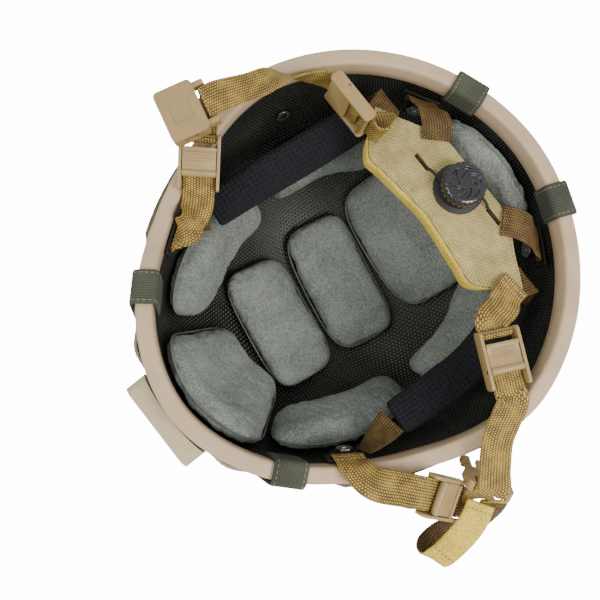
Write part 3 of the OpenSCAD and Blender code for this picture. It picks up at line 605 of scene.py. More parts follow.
def seen_times(tree: bpy.types.NodeTree, rise: float, base: float) -> bpy.types.NodeSocket:
    """A glow for what the lens sees directly, over the glow that lights the pieces.

    Args:
        tree: The tree of a material or a world.
        rise: Glow added where the lens sees the surface directly.
        base: Glow everywhere.

    Returns:
        The glow's strength.
    """
    seen = add(tree, "ShaderNodeLightPath").outputs["Is Camera Ray"]
    return add(tree, "ShaderNodeMath", {0: seen, 1: rise, 2: base}, operation="MULTIPLY_ADD").outputs[0]


@dataclass(frozen=True)
class Backlit(Finish):
    """Pale paper that glows evenly."""

    glow: float = 1.0

    def paint(self, tree: bpy.types.NodeTree, shader: bpy.types.Node) -> None:
        """Adds the glow to the common paint.

        Args:
            tree: The material's tree.
            shader: Its Principled shader.
        """
        super().paint(tree, shader)
        shader.inputs["Emission Color"].default_value = linear(self.tone)
        tree.links.new(seen_times(tree, self.glow, 0.0), shader.inputs["Emission Strength"])


# Aramid composite, pressed under woven peel cloth: black with a coarse dotted weave, the pale grey on each
# dot's crown a painted glint
COMPOSITE_SHELL = Woven(
    "pressed_composite", "#60625c", "#020202", 0.42, 0.55, mottle=0.12,
    along_mm=2.6, across_mm=2.6, crown=3.4,
)
# Moulded thermoplastic rubber: pale, even and matt
EDGE_RUBBER = Finish("moulded_edge_rubber", "#c4ad8f", "#b79f80", 0.55, 0.02, mottle=0.5, mottle_mm=18)
# Nylon ripstop, drawn as one even close weave: dull grey-green with little sheen
RIPSTOP_COVER = Woven(
    "ripstop_cloth", "#b3b49e", "#80836f", 0.85, 0.2, sheen=0.15, mottle=0.12, mottle_mm=45,
    along_mm=1.8, across_mm=1.8, crown=0.9,
)
# Hook-and-loop tab cloth: close weave, grey-olive
TAB_CLOTH = Woven("tab_cloth", "#4f5345", "#262922", 0.85, 0.2, sheen=0.1, along_mm=1.3, across_mm=1.5)
# Loop pile: dark and fuzzy
LOOP_PILE = Napped("loop_pile", "#4b4b40", "#1d1d19", 0.95, 0.5, sheen=0.4, speck_mm=1.4, contrast=0.8)
# Hook tape: black, rough
HOOK_TAPE = Napped("hook_tape", "#2c2d28", "#0e0e0d", 0.8, 0.4, speck_mm=1.6, contrast=0.9)
# Brushed polyester over foam: grey-green with salt-and-pepper nap
PAD_CLOTH = Napped(
    "brushed_pad_cloth", "#969e99", "#545b56", 0.95, 0.22, sheen=0.3, mottle=0.2, mottle_mm=26,
    speck_mm=1.15, contrast=0.9,
)
# Woven polyester binding: a fine grey line, flatter than the nap beside it
PAD_SEAM = Woven("pad_seam_binding", "#7d847f", "#4c514d", 0.95, 0.12, along_mm=1.2, across_mm=1.2)
# Knitted polyester spacer mesh: near-black navy with deep round hollows
SPACER_MESH = Dimpled("spacer_mesh", "#0e111b", "#010102", 0.95, 0.9, mottle=0.1, pitch_mm=3.1)
# Nylon webbing, dyed coyote: painted highlights in gold on the ribs' crowns, and painted shade in dark brown
# between them
WEBBING = Woven(
    "coyote_webbing", "#c9a950", "#412b09", 0.7, 0.3, sheen=0.12, mottle=0.2, mottle_mm=6,
    along_mm=1.4, across_mm=1.65, crown=1.2,
)
# The same webbing in brown: darker, with duller painted highlights on the ribs and near-black painted shade
# between them
BROWN_WEBBING = Woven(
    "brown_webbing", "#86672b", "#1e130a", 0.75, 0.3, sheen=0.1, mottle=0.2, mottle_mm=6,
    along_mm=1.4, across_mm=1.65, crown=1.2,
)
# Coated nylon: khaki basket weave, blotched along its creases
CORDURA = Woven(
    "khaki_cordura", "#d2c086", "#70622f", 0.8, 0.26, sheen=0.15, mottle=0.2, mottle_mm=9,
    along_mm=1.5, across_mm=1.5, crown=0.8,
)
# Split leather: yellow-khaki, soft nap
SUEDE = Napped(
    "khaki_suede", "#efd45a", "#ad8f34", 0.95, 0.2, sheen=0.4, mottle=0.3, mottle_mm=14,
    speck_mm=1.0, contrast=0.7,
)
# Moulded acetal, tan: slightly waxy
TAN_PLASTIC = Finish("moulded_tan_acetal", "#a58e60", "#967e52", 0.4, 0.02, mottle=0.2, mottle_mm=25)
# Moulded filled nylon, sand: matt, with faint clouds from the mould
SHROUD_PLASTIC = Finish("moulded_tan_nylon", "#c2b596", "#b3a585", 0.6, 0.03, mottle=0.3, mottle_mm=20)
# Moulded filled nylon, olive: matt and scuffed in patches
RAIL_PLASTIC = Finish("moulded_olive_nylon", "#6f6549", "#5a5139", 0.6, 0.03, mottle=0.5, mottle_mm=12)
# Moulded nylon, black: even, with a dull shine
BLACK_PLASTIC = Finish("moulded_black_nylon", "#222327", "#17181b", 0.5, 0.02)
# Moulded acetal, undyed: pale and even
PALE_PLASTIC = Finish("moulded_pale_acetal", "#c9c9c4", "#b4b4ad", 0.5, 0.02)
# Glossy moulded dial: dark, clear reflections
DIAL_GLOSS = Polished("glossy_dial_plastic", "#1e1f25", "#15161a", 0.2, 0.0, coat=0.5)
# Blackened steel: dark, with a soft metal shine
DARK_STEEL = Polished("blackened_steel", "#343432", "#20201e", 0.45, 0.02, metal=0.6)
# Plated steel: bright and slightly worn
BRIGHT_STEEL = Polished("plated_steel", "#a9aaa6", "#7f807b", 0.32, 0.02, metal=1.0)
# Coated braid: black, fine and a little shiny
LACE_BRAID = Woven("coated_lace", "#2a2a2a", "#0b0b0b", 0.5, 0.2, along_mm=1.0, across_mm=1.0)
# Bonded sewing thread in four colours: smooth and dull
TAN_THREAD = Finish("tan_thread", "#cdb98a", "#a8925e", 0.7, 0.0)
OLIVE_THREAD = Finish("olive_thread", "#8d8f79", "#6b6d5a", 0.7, 0.0)
DARK_THREAD = Finish("brown_thread", "#5b4527", "#3c2c16", 0.7, 0.0)
SLEEVE_THREAD = Finish("navy_thread", "#161a26", "#0a0c12", 0.8, 0.0)
# Seamless paper, lit through from below: almost white, without shadows' edges
FLOOR_PAPER = Backlit("studio_paper", "#f8f8f7", "#f4f4f2", 0.9, 0.0, mottle=0.3, mottle_mm=400, glow=14.0)


# The dome that every piece on the helmet is laid on


@dataclass(frozen=True)
class Dome:
    """The helmet's outer surface and rim, by angle from the front and by height.

    The rim is an egg in plan, and the surface is a superellipse from the crown's flat up to its
    widest height. Folds are the hem's bends: middle and half width in degrees, height in mm.
    """

    rim_half_w: float = 125.7
    rim_half_l: float = 134.4
    egg: float = 0.08
    rim_power: float = 1.89
    power: float = 2.2
    widest: float = 125.0
    brow: float = 136.0
    ear: float = 120.5
    nape: float = 147.5
    brow_ramp: tuple = (24, 30)
    nape_ramp: tuple = (67, 39)
    low: float = 2.0
    wall: float = 7.0
    leg: float = 1.3
    trim_w: float = 9.95
    trim_cover: float = 2.2
    folds: tuple = ((-18, 7, 3.5), (18, 7, 3), (-136, 14, 3), (133, 13, 2.5))

    def plan(self, f: Array) -> Array:
        """Plan radius of the trim's outer edge.

        Args:
            f: Angles from the front, in degrees.

        Returns:
            The radius at each.
        """
        f = np.radians(f)
        wide = (np.abs(np.sin(f)) / (self.rim_half_w * (1 - self.egg * np.cos(f)))) ** self.rim_power
        long = (np.abs(np.cos(f)) / self.rim_half_l) ** self.rim_power
        return (wide + long) ** (-1 / self.rim_power)

    def rim(self, f: Array) -> Array:
        """Height of the trim's top, stepping down from brow to ear and up to the nape.

        Args:
            f: Angles from the front, in degrees.

        Returns:
            The height at each.
        """
        d = np.abs(f) % 360
        d = np.where(d > 180, 360 - d, d)
        (down_at, down_over), (up_at, up_over) = self.brow_ramp, self.nape_ramp
        down = (self.ear - self.brow) * smooth((d - down_at) / down_over)
        return self.brow + down + (self.nape - self.ear) * smooth((d - up_at) / up_over)

    def around(self, f: Array, r: Array, z: Array) -> Array:
        """Points by angle, radius and height.

        Args:
            f: Angles from the front, in degrees.
            r: Radii.
            z: Heights.

        Returns:
            The points, the last axis holding x, y and z.
        """
        a, r, z = np.broadcast_arrays(np.radians(f), r, z)
        return np.stack([r * np.sin(a), -r * np.cos(a), z], axis=-1)

    def inset(self, f: Array, off: Array) -> Array:
        """Plan radius off mm inside the shell's outer face, where it is widest."""
        return self.plan(f) - self.leg - off

    def at_height(self, f: Array, z: Array, off: Array) -> Array:
        """Points inside the shell's outer face, by angle and height.

        Args:
            f: Angles from the front, in degrees.
            z: Heights.
            off: How far inside the face, in millimetres.

        Returns:
            The points.
        """
        level = np.maximum(self.widest - z, 0) / (self.widest - self.low - off)
        share = np.maximum(1 - level**self.power, 0) ** (1 / self.power)
        return self.around(f, self.inset(f, off) * share, z)

    def at_angle(self, f: Array, a: Array, off: Array) -> Array:
        """The same points by angle from the front and angle from the crown.

        Args:
            f: Angles from the front, in degrees.
            a: Angles from the crown; past 90 the wall goes straight up, 2 mm for each degree.
            off: How far inside the face, in millimetres.

        Returns:
            The points.
        """
        f, a, off = np.broadcast_arrays(*[np.asarray(v, float) for v in (f, a, off)])
        s, c = np.sin(np.radians(np.minimum(a, 90))), np.cos(np.radians(np.minimum(a, 90)))
        drop = (self.widest - self.low - off) * np.maximum(c, 0) ** (2 / self.power)
        z = self.widest - drop + 2 * np.maximum(a - 90, 0)
        return self.around(f, self.inset(f, off) * s ** (2 / self.power), z)

    def cap(self, x: Array, y: Array, off: Array) -> Array:
        """The same points by a place in plan.

        Args:
            x: Places towards the wearer's right.
            y: Places towards the nape.
            off: How far inside the face, in millimetres.

        Returns:
            The points.
        """
        f = np.degrees(np.arctan2(x, -y))
        share = np.maximum(1 - (np.hypot(x, y) / self.inset(f, off)) ** self.power, 0) ** (1 / self.power)
        return np.stack([x, y, self.widest - (self.widest - self.low - off) * share], axis=-1)

    def row(self, off: float, v: float, drop: float, folded: bool, count: int) -> Array:
        """A level row of the dome.

        Args:
            off: How far inside the face, in millimetres.
            v: From 0 at the crown to 1 at the top edge.
            drop: How far the top edge lies below the trim's top.
            folded: Whether the row bends out with the hem.
            count: Points in the row.

        Returns:
            The row's points.
        """
        f = np.arange(count) * 360 / count
        low = self.low + off
        rise = (self.rim(f) - self.trim_cover - low) * (1 - math.cos(math.radians(90 * v)))
        rings = self.at_height(f, np.minimum(self.rim(f) - drop, low + rise), off)
        if folded:
            rings = rings + self.around(f, self.hem(f) * smooth((v - 0.75) / 0.25), 0)
        return rings

    def hem(self, f: Array) -> Array:
        """How far the cover's hem bends outwards.

        Args:
            f: Angles from the front, from 0 to 360 degrees.

        Returns:
            The bend at each, in millimetres.
        """
        d = np.where(f > 180, f - 360, f)
        out = np.zeros_like(d, float)
        for middle, half, high in self.folds:
            bend = high * np.cos(np.radians(90 * (d - middle) / half)) ** 2
            out = np.maximum(out, np.where(np.abs(d - middle) < half, bend, 0))
        return out

    def seat(self, f: float, z: float) -> Place:
        """A frame square to the dome: x along the rim, y up the wall, z outward.

        Args:
            f: Angle from the front, in degrees.
            z: Height.

        Returns:
            The frame.
        """
        along = self.at_height(f + 1, z, 0.0) - self.at_height(f - 1, z, 0.0)
        up = self.at_height(f, z + 1, 0.0) - self.at_height(f, z - 1, 0.0)
        return Place(tuple(self.at_height(f, z, 0.0)), tuple(along), tuple(up))


DOME = Dome()


# Webbing and stitches

# Pitch, length and thickness of each kind of stitch, and of the levers' ribs
HEM_STITCH = (3.6, 2.6, 0.6)
TAB_STITCH = (3.0, 2.2, 0.5)
QUILT_STITCH = (3.2, 2.3, 0.6)
BINDING_STITCH = (2.8, 2.0, 0.5)
SLEEVE_SEAM = (2.6, 2.4, 0.8)
SLEEVE_END = (2.4, 2.0, 0.8)
CROSS_STITCH = (2.4, 1.9, 0.5)
LEVER_RIBS = (1.2, 16.4, 0.7)


def dense(route: Route, steps: int) -> tuple[Array, Array]:
    """A smooth line through a route's points.

    Args:
        route: Pairs of middle and direction of the width.
        steps: Points for each stretch.

    Returns:
        The middles and the width directions.
    """
    both = np.array([[p, w] for p, w in route], float)
    made = []
    n = len(both)
    for i in range(n - 1):
        a, b, c, d = both[max(i - 1, 0)], both[i], both[i + 1], both[min(i + 2, n - 1)]
        bow, turn = 2 * a - 5 * b + 4 * c - d, 3 * b - a - 3 * c + d
        for s in range(steps):
            t = s / steps
            made.append((2 * b + (c - a) * t + bow * t * t + turn * t**3) / 2)
    made.append(both[-1])
    made = np.array(made)
    return made[:, 0], made[:, 1]


def frames(middles: Array, widths: Array) -> tuple[Array, Array]:
    """Directions of a strap's section along its line.

    Args:
        middles: The line's points.
        widths: Rough direction of the width at each.

    Returns:
        Unit directions across the strap and through its thickness.
    """
    along = np.empty_like(middles)
    along[1:-1] = middles[2:] - middles[:-2]
    along[0], along[-1] = middles[1] - middles[0], middles[-1] - middles[-2]
    thick = units(np.cross(along, widths))
    return units(np.cross(thick, along)), thick


@dataclass(frozen=True)
class Ribbon:
    """A strap along a route, with rounded selvedges and a slightly uneven lie.

    Shares and highs draw the upper face of its section. Lie gives the waves in its edges: length
    in mm, height in mm and start in radians.
    """

    name: str
    route: Route
    width: float = 19.0
    thick: float = 1.4
    cup: float = 1.0
    steps: int = 10
    shares: tuple = (-1, -0.965, -0.9, -0.6, -0.3, 0, 0.3, 0.6, 0.9, 0.965)
    highs: tuple = (0, 0.34, 0.48, 0.5, 0.5, 0.5, 0.5, 0.5, 0.48, 0.34)
    lie: tuple = ((7.3, 0.09, 0), (3.1, 0.05, 1))
    settled: float = 6.0

    def line(self) -> tuple[Array, Array, Array]:
        """The strap's line.

        Returns:
            Its middles, and its directions across and through the thickness.
        """
        middles, widths = dense(self.route, self.steps)
        across, thick = frames(middles, widths)
        return middles, across, thick

    def build(self) -> bpy.types.Object:
        """The strap's closed mesh, its edges curling up and down where it lies free of its ends.

        Returns:
            The piece.
        """
        middles, across, thick = self.line()
        shares, highs = outline(self.shares, self.highs)
        s, h = shares * self.width / 2, highs * self.thick
        lengths = run_lengths(middles)
        wave = sum(np.sin(lengths / long + start) * high for long, high, start in self.lie)
        free = np.minimum(np.minimum(lengths, lengths[-1] - lengths) / self.settled, 1)
        lift = h[None, :] + self.cup * (free * wave)[:, None] * shares[None, :] ** 2
        edge = np.cumsum(np.abs(np.diff(closed(s))) + np.abs(np.diff(closed(h))))
        uv = laid_out(lengths, np.concatenate([[0], edge]))
        return swept(self.name, ringed(middles, across, thick, s, lift), uv)


@dataclass(frozen=True)
class Stitches:
    """Rounded bars along lines, such as lock stitches or grip ribs, placed by a Geometry Nodes tree."""

    name: str
    lines: list
    finish: Finish
    pitch: float
    length: float
    thick: float
    seed: int = 5
    across: tuple | None = None

    def tree(self, material: bpy.types.Material) -> bpy.types.NodeTree:
        """Rounded stitches along a curve, each turned to follow it or laid in one direction.

        Args:
            material: What the stitches are made of.

        Returns:
            The tree, with its sizes as named inputs.
        """
        tree = bpy.data.node_groups.new("stitch_row", "GeometryNodeTree")
        kinds = {"Line": "Geometry", "Pitch": "Float", "Length": "Float", "Thickness": "Float"}
        for label, kind in {**kinds, "Direction": "Vector"}.items():
            tree.interface.new_socket(name=label, in_out="INPUT", socket_type=f"NodeSocket{kind}")
        tree.interface.new_socket(name="Stitches", in_out="OUTPUT", socket_type="NodeSocketGeometry")
        given = add(tree, "NodeGroupInput").outputs
        curve = add(tree, "GeometryNodeMeshToCurve", {"Mesh": given["Line"]}).outputs[0]
        spacing = {"Curve": curve, "Length": given["Pitch"]}
        spaced = add(tree, "GeometryNodeResampleCurve", spacing, mode="LENGTH").outputs[0]
        half, radius = (
            add(tree, "ShaderNodeMath", {0: given[label], 1: 0.5}, operation="MULTIPLY").outputs[0]
            for label in ("Length", "Thickness")
        )
        size = add(tree, "ShaderNodeCombineXYZ", {0: radius, 1: radius, 2: half}).outputs[0]
        ball = add(tree, "GeometryNodeMeshUVSphere", {"Segments": 8, "Rings": 6, "Radius": 1.0}).outputs[0]
        along = given["Direction"] if self.across else add(tree, "GeometryNodeInputTangent").outputs[0]
        turned = add(tree, "FunctionNodeAlignRotationToVector", {"Vector": along}, axis="Z").outputs[0]
        shake = add(tree, "FunctionNodeRandomValue", {"Seed": self.seed}, data_type="FLOAT").outputs[1]
        factor = add(tree, "ShaderNodeMapRange", {0: shake, 3: 0.9, 4: 1.1}).outputs[0]
        scaled = add(tree, "ShaderNodeVectorMath", {0: size, "Scale": factor}, operation="SCALE").outputs[0]
        placing = {"Points": spaced, "Instance": ball, "Rotation": turned, "Scale": scaled}
        placed = add(tree, "GeometryNodeInstanceOnPoints", placing).outputs[0]
        real = add(tree, "GeometryNodeRealizeInstances", {0: placed}).outputs[0]
        dressed = add(tree, "GeometryNodeSetMaterial", {"Geometry": real, "Material": material}).outputs[0]
        add(tree, "NodeGroupOutput", {0: dressed})
        return tree

    def build(self) -> bpy.types.Object:
        """The stitches as a plain mesh.

        Returns:
            The piece.
        """
        mesh = bpy.data.meshes.new(self.name)
        points, edges = [], []
        for line in self.lines:
            start = len(points)
            points += (np.asarray(line, float) * MM).tolist()
            edges += [(i, i + 1) for i in range(start, len(points) - 1)]
        mesh.from_pydata(points, edges, [])
        piece = linked(self.name, mesh)
        modifier = piece.modifiers.new("stitches", "NODES")
        modifier.node_group = self.tree(self.finish.material())
        values = {"Pitch": self.pitch * MM, "Length": self.length * MM, "Thickness": self.thick * MM}
        if self.across:
            values["Direction"] = [float(c) for c in self.across]
        for item in modifier.node_group.interface.items_tree:
            if item.in_out == "INPUT" and item.name in values:
                modifier[item.identifier] = values[item.name]
        return applied(piece)

    def sew(self, body: str) -> None:
        """Builds the stitches and lets them ride on a body."""
        hand_over(self.build(), body, self.finish)


# Pieces of the helmet


@dataclass(frozen=True)
class Shell:
    """The composite shell and the rubber trim over its edge."""

    count: int = 256
    rows: int = 26
    tips: tuple = ((0, 0, 2.0), (0, 0, 9.0))
    lip: float = 1.1
    unevenness: tuple = ((7, 0, 0.12), (17, 40, 0.08))

    def build(self) -> None:
        """The shell, its screw holes filled by their screws, and the trim."""
        self.build_shell()
        self.build_trim()

    def build_shell(self) -> None:
        """The shell's mesh: up the outside, over the edge and down the inside."""
        steps = [(j + 1) / self.rows for j in range(self.rows)]
        outer, inner = (
            [DOME.row(off, v, DOME.trim_cover, False, self.count) for v in steps] for off in (0, DOME.wall)
        )
        piece = cup("ballistic_shell", np.array(outer + inner[::-1]), self.tips)
        hand_over(piece, "helmet", COMPOSITE_SHELL, ("shell",))

    def build_trim(self) -> None:
        """The trim: a rounded channel with soft lips, its top edge a little uneven."""
        w, lip = DOME.trim_w, self.lip
        section = [
            (lip, -11), (lip, -7), (lip, -2.3), (1.5, -1.9), (w - 1.5, -1.9), (w - lip, -2.3), (w - lip, -8),
            (w - lip, -13), (w - 0.9, -13.2), (w - 0.25, -13.2), (w, -12.9), (w, -8), (w, -2.0),
            (w - 0.35, -0.9), (w - lip, -0.2), (w - 2, 0), (w / 2 + 1.5, 0.05), (w / 2 - 1.5, 0.05), (2, 0),
            (lip, -0.2), (0.35, -0.9), (0, -2.0), (0, -7), (0, -10.8), (0.25, -11.2), (0.9, -11.2),
        ]
        f = np.arange(self.count) * 360 / self.count
        uneven = ripple(f, self.unevenness)
        rings = [
            DOME.at_height(f, DOME.rim(f) + down + (uneven if down > -1.5 else 0), inward - DOME.leg)
            for inward, down in section
        ]
        piece = swept("edge_trim_channel", np.array(rings).transpose(1, 0, 2), wrap=True)
        hand_over(piece, "helmet", EDGE_RUBBER, ("edge_trim",))


@dataclass(frozen=True)
class ClothCover:
    """The fabric cover with its hem, tabs and rear loop panel.

    Wrinkles give the count of waves round the rim, their twist from crown to hem and their start
    in degrees, and their share of the depth.
    """

    count: int = 240
    rows: int = 22
    wrinkles: tuple = ((11, 50, 0, 1.0), (23, -90, 0, 0.7), (37, 0, 30, 0.5))
    wrinkle_depth: float = 0.32
    wrinkle_limits: tuple = (-0.25, 0.5)
    drop: float = 13.0
    flat_r: float = 16.0
    outside: float = -2.0
    inside: float = -0.4
    tab_w: float = 21.0
    tab_t: float = 1.8
    tab_gap: float = 0.3
    tabs: tuple = (
        ("front_left", -32.6, 16), ("front_right", 32.6, 16),
        ("rear_left", -160.4, 13), ("rear_right", 160.4, 13),
    )
    panel_w: float = 80.0
    panel_h: float = 34.0
    panel_z: float = 89.0
    panel_depths: tuple = (-4.1, -2.6)

    def build(self) -> None:
        """The cover, four tabs, the loop panel and their stitches."""
        self.build_cover()
        for name, f, inner in self.tabs:
            self.build_tab(name, f, inner)
        self.build_panel()

    def crease(self, f: Array, v: float) -> Array:
        """Shallow folds that fade towards the crown.

        Args:
            f: Angles from the front, in degrees.
            v: From 0 at the crown to 1 at the hem.

        Returns:
            How far each angle is pushed out, in millimetres.
        """
        wave = ripple(f, [(count, start + twist * v, high) for count, twist, start, high in self.wrinkles])
        return np.clip(self.wrinkle_depth * wave * smooth((v - 0.45) / 0.5), *self.wrinkle_limits)

    def build_cover(self) -> None:
        """The cover's cloth, wrinkled towards its rolled hem."""
        f = np.arange(self.count) * 360 / self.count
        outer = [DOME.around(f, self.flat_r, 0)]
        inner = []
        for v in [0.08 + 0.92 * (j / self.rows) for j in range(self.rows + 1)]:
            row = DOME.row(self.outside, v, self.drop, True, self.count)
            outer.append(row + DOME.around(f, self.crease(f, v), 0))
            inner.append(DOME.row(self.inside, v, self.drop, True, self.count))
        lip = DOME.row(-1.2, 1.0, self.drop - 0.3, True, self.count)
        piece = cup("fabric_cover", np.array([*outer, lip, *inner[::-1]]), ([0, 0, 0.0], [0, 0, 1.6]))
        hand_over(piece, "helmet", RIPSTOP_COVER, ("cover",))
        lines = [closed(DOME.row(-2.3, 1.0, self.drop + below, True, self.count)) for below in (5.5, 8.0)]
        Stitches("cover_hem_stitches", lines, OLIVE_THREAD, *HEM_STITCH).sew("helmet")

    def build_tab(self, name: str, f: float, inner: float) -> None:
        """A tab folded over the rim, with a stitched border on both faces.

        Args:
            name: The tab's corner.
            f: Its angle from the front, in degrees.
            inner: How far down inside the shell it reaches.
        """
        before, after = (DOME.around(g, DOME.plan(g), DOME.rim(g)) for g in (f - 1, f + 1))
        origin = DOME.at_height(f, float(DOME.rim(f)), 0.0)
        x, y, z = Place(tuple(origin), tuple(after - before), tuple(DOME.around(f, 1.0, 0.0))).axes()
        t, top = self.tab_t, -self.tab_gap - self.tab_t / 2
        out_y, in_y = 2.4, -(DOME.trim_w - DOME.leg + 0.9)
        over = (
            (out_y + t / 2, 22), (out_y + t / 2, 12), (out_y + t / 2, 3), (out_y + t * 0.3, 0.2),
            (out_y - 1.2, top), (-1, top - 0.15), (-6, top - 0.15), (in_y + 0.8, top),
            (in_y - t * 0.35, 0.2), (in_y - t / 2, 3), (in_y - t / 2, inner / 2), (in_y - t / 2, inner),
        )
        route = [(list(origin + y * a + z * b), list(x)) for a, b in over]
        strap = Ribbon(f"tab_{name}", route, self.tab_w, 1.7, cup=0.0, steps=5)
        hand_over(strap.build(), "helmet", TAB_CLOTH, (f"cover_tab_{name}",))
        middles, across, thick = (rows[3:-3] for rows in strap.line())
        border = across * (self.tab_w / 2 - 2.2)
        lines = [middles + border * side + thick * face * 0.85 for side in (-1, 1) for face in (1, -1)]
        Stitches(f"tab_{name}_stitches", lines, OLIVE_THREAD, *TAB_STITCH).sew("helmet")

    def build_panel(self) -> None:
        """The rear loop panel, its upper edge frayed a little."""
        half = self.panel_w / 2 / float(DOME.plan(180.0)) * DEGREES
        f = np.linspace(180 - half, 180 + half, 60)
        heights = [0, 0.04, 0.2, 0.4, 0.6, 0.8, 0.96, 1]
        rng = np.random.default_rng(11)
        fray = rng.uniform(-0.5, 0.1, len(f))
        rings = []
        for side, depth in zip((1, -1), self.panel_depths):
            for h in heights[::side]:
                shy = 0.5 if h in (0, 1) else 0
                pile = rng.uniform(0, 0.35, len(f)) if side > 0 else 0
                z = self.panel_z + self.panel_h * h + (fray if h == 1 else 0)
                rings.append(DOME.at_height(f, z, depth + side * shy + pile))
        piece = swept("rear_loop_panel_cloth", np.array(rings).transpose(1, 0, 2))
        hand_over(piece, "helmet", LOOP_PILE, ("rear_loop_panel",))


@dataclass(frozen=True)
class Hardware:
    """A moulded or metal piece made from its CAD node: welded, flats joined, edges rounded."""

    node: str
    body: str
    slot: str
    finish: Finish
    bevel: float = 0.35
    segments: int = 2
    edge_angle: float = 28.0
    sharp_angle: float = 35.0

    def build(self) -> None:
        """The rounded piece, with sharp shading kept at the flats' borders."""
        found = next(o for o in bpy.data.objects if o.type == "MESH" and o.name == self.node)
        piece = linked(f"{self.node}_rounded", found.data.copy())
        piece.data.transform(found.matrix_world)
        outward(piece, merge=True)
        rounding = piece.modifiers.new("rounding", "BEVEL")
        rounding.width, rounding.segments = self.bevel * MM, self.segments
        rounding.limit_method, rounding.angle_limit = "ANGLE", math.radians(self.edge_angle)
        applied(piece)
        piece.data.polygons.foreach_set("use_smooth", [True] * len(piece.data.polygons))
        piece.data.set_sharp_from_angle(angle=math.radians(self.sharp_angle))
        hand_over(piece, self.body, self.finish, (self.node,))


@dataclass(frozen=True)
class RimPad:
    """A pad on the wall, between two angles from the front.

    First and last are its low and high edge at each end, as angles from the crown.
    """

    name: str
    ends: tuple
    first: tuple
    last: tuple
    side: int = 1

    def lay(self, x: Array, y: Array, off: Array) -> Array:
        """Points of the pad.

        Args:
            x: Shares of its half length.
            y: Shares of its half height.
            off: How far inside the shell's outer face, in millimetres.

        Returns:
            The points.
        """
        k = (1 + x) / 2
        low, high = (a + (b - a) * k for a, b in zip(self.first, self.last))
        f = self.ends[0] + (self.ends[1] - self.ends[0]) * k
        return DOME.at_angle(f, (low + high) / 2 - y * (high - low) / 2, off) * np.array([self.side, 1, 1])


@dataclass(frozen=True)
class CrownPad:
    """A pad at the crown: middle, width and length in plan, and turn in degrees."""

    name: str
    middle: tuple
    size: tuple
    turn: float

    def lay(self, x: Array, y: Array, off: Array) -> Array:
        """Points of the pad.

        Args:
            x: Shares of its half width.
            y: Shares of its half length.
            off: How far inside the shell's outer face, in millimetres.

        Returns:
            The points.
        """
        a = math.radians(self.turn)
        u, v = x * self.size[0] / 2, y * self.size[1] / 2
        along = self.middle[0] + u * math.cos(a) - v * math.sin(a)
        return DOME.cap(along, self.middle[1] + u * math.sin(a) + v * math.cos(a), off)


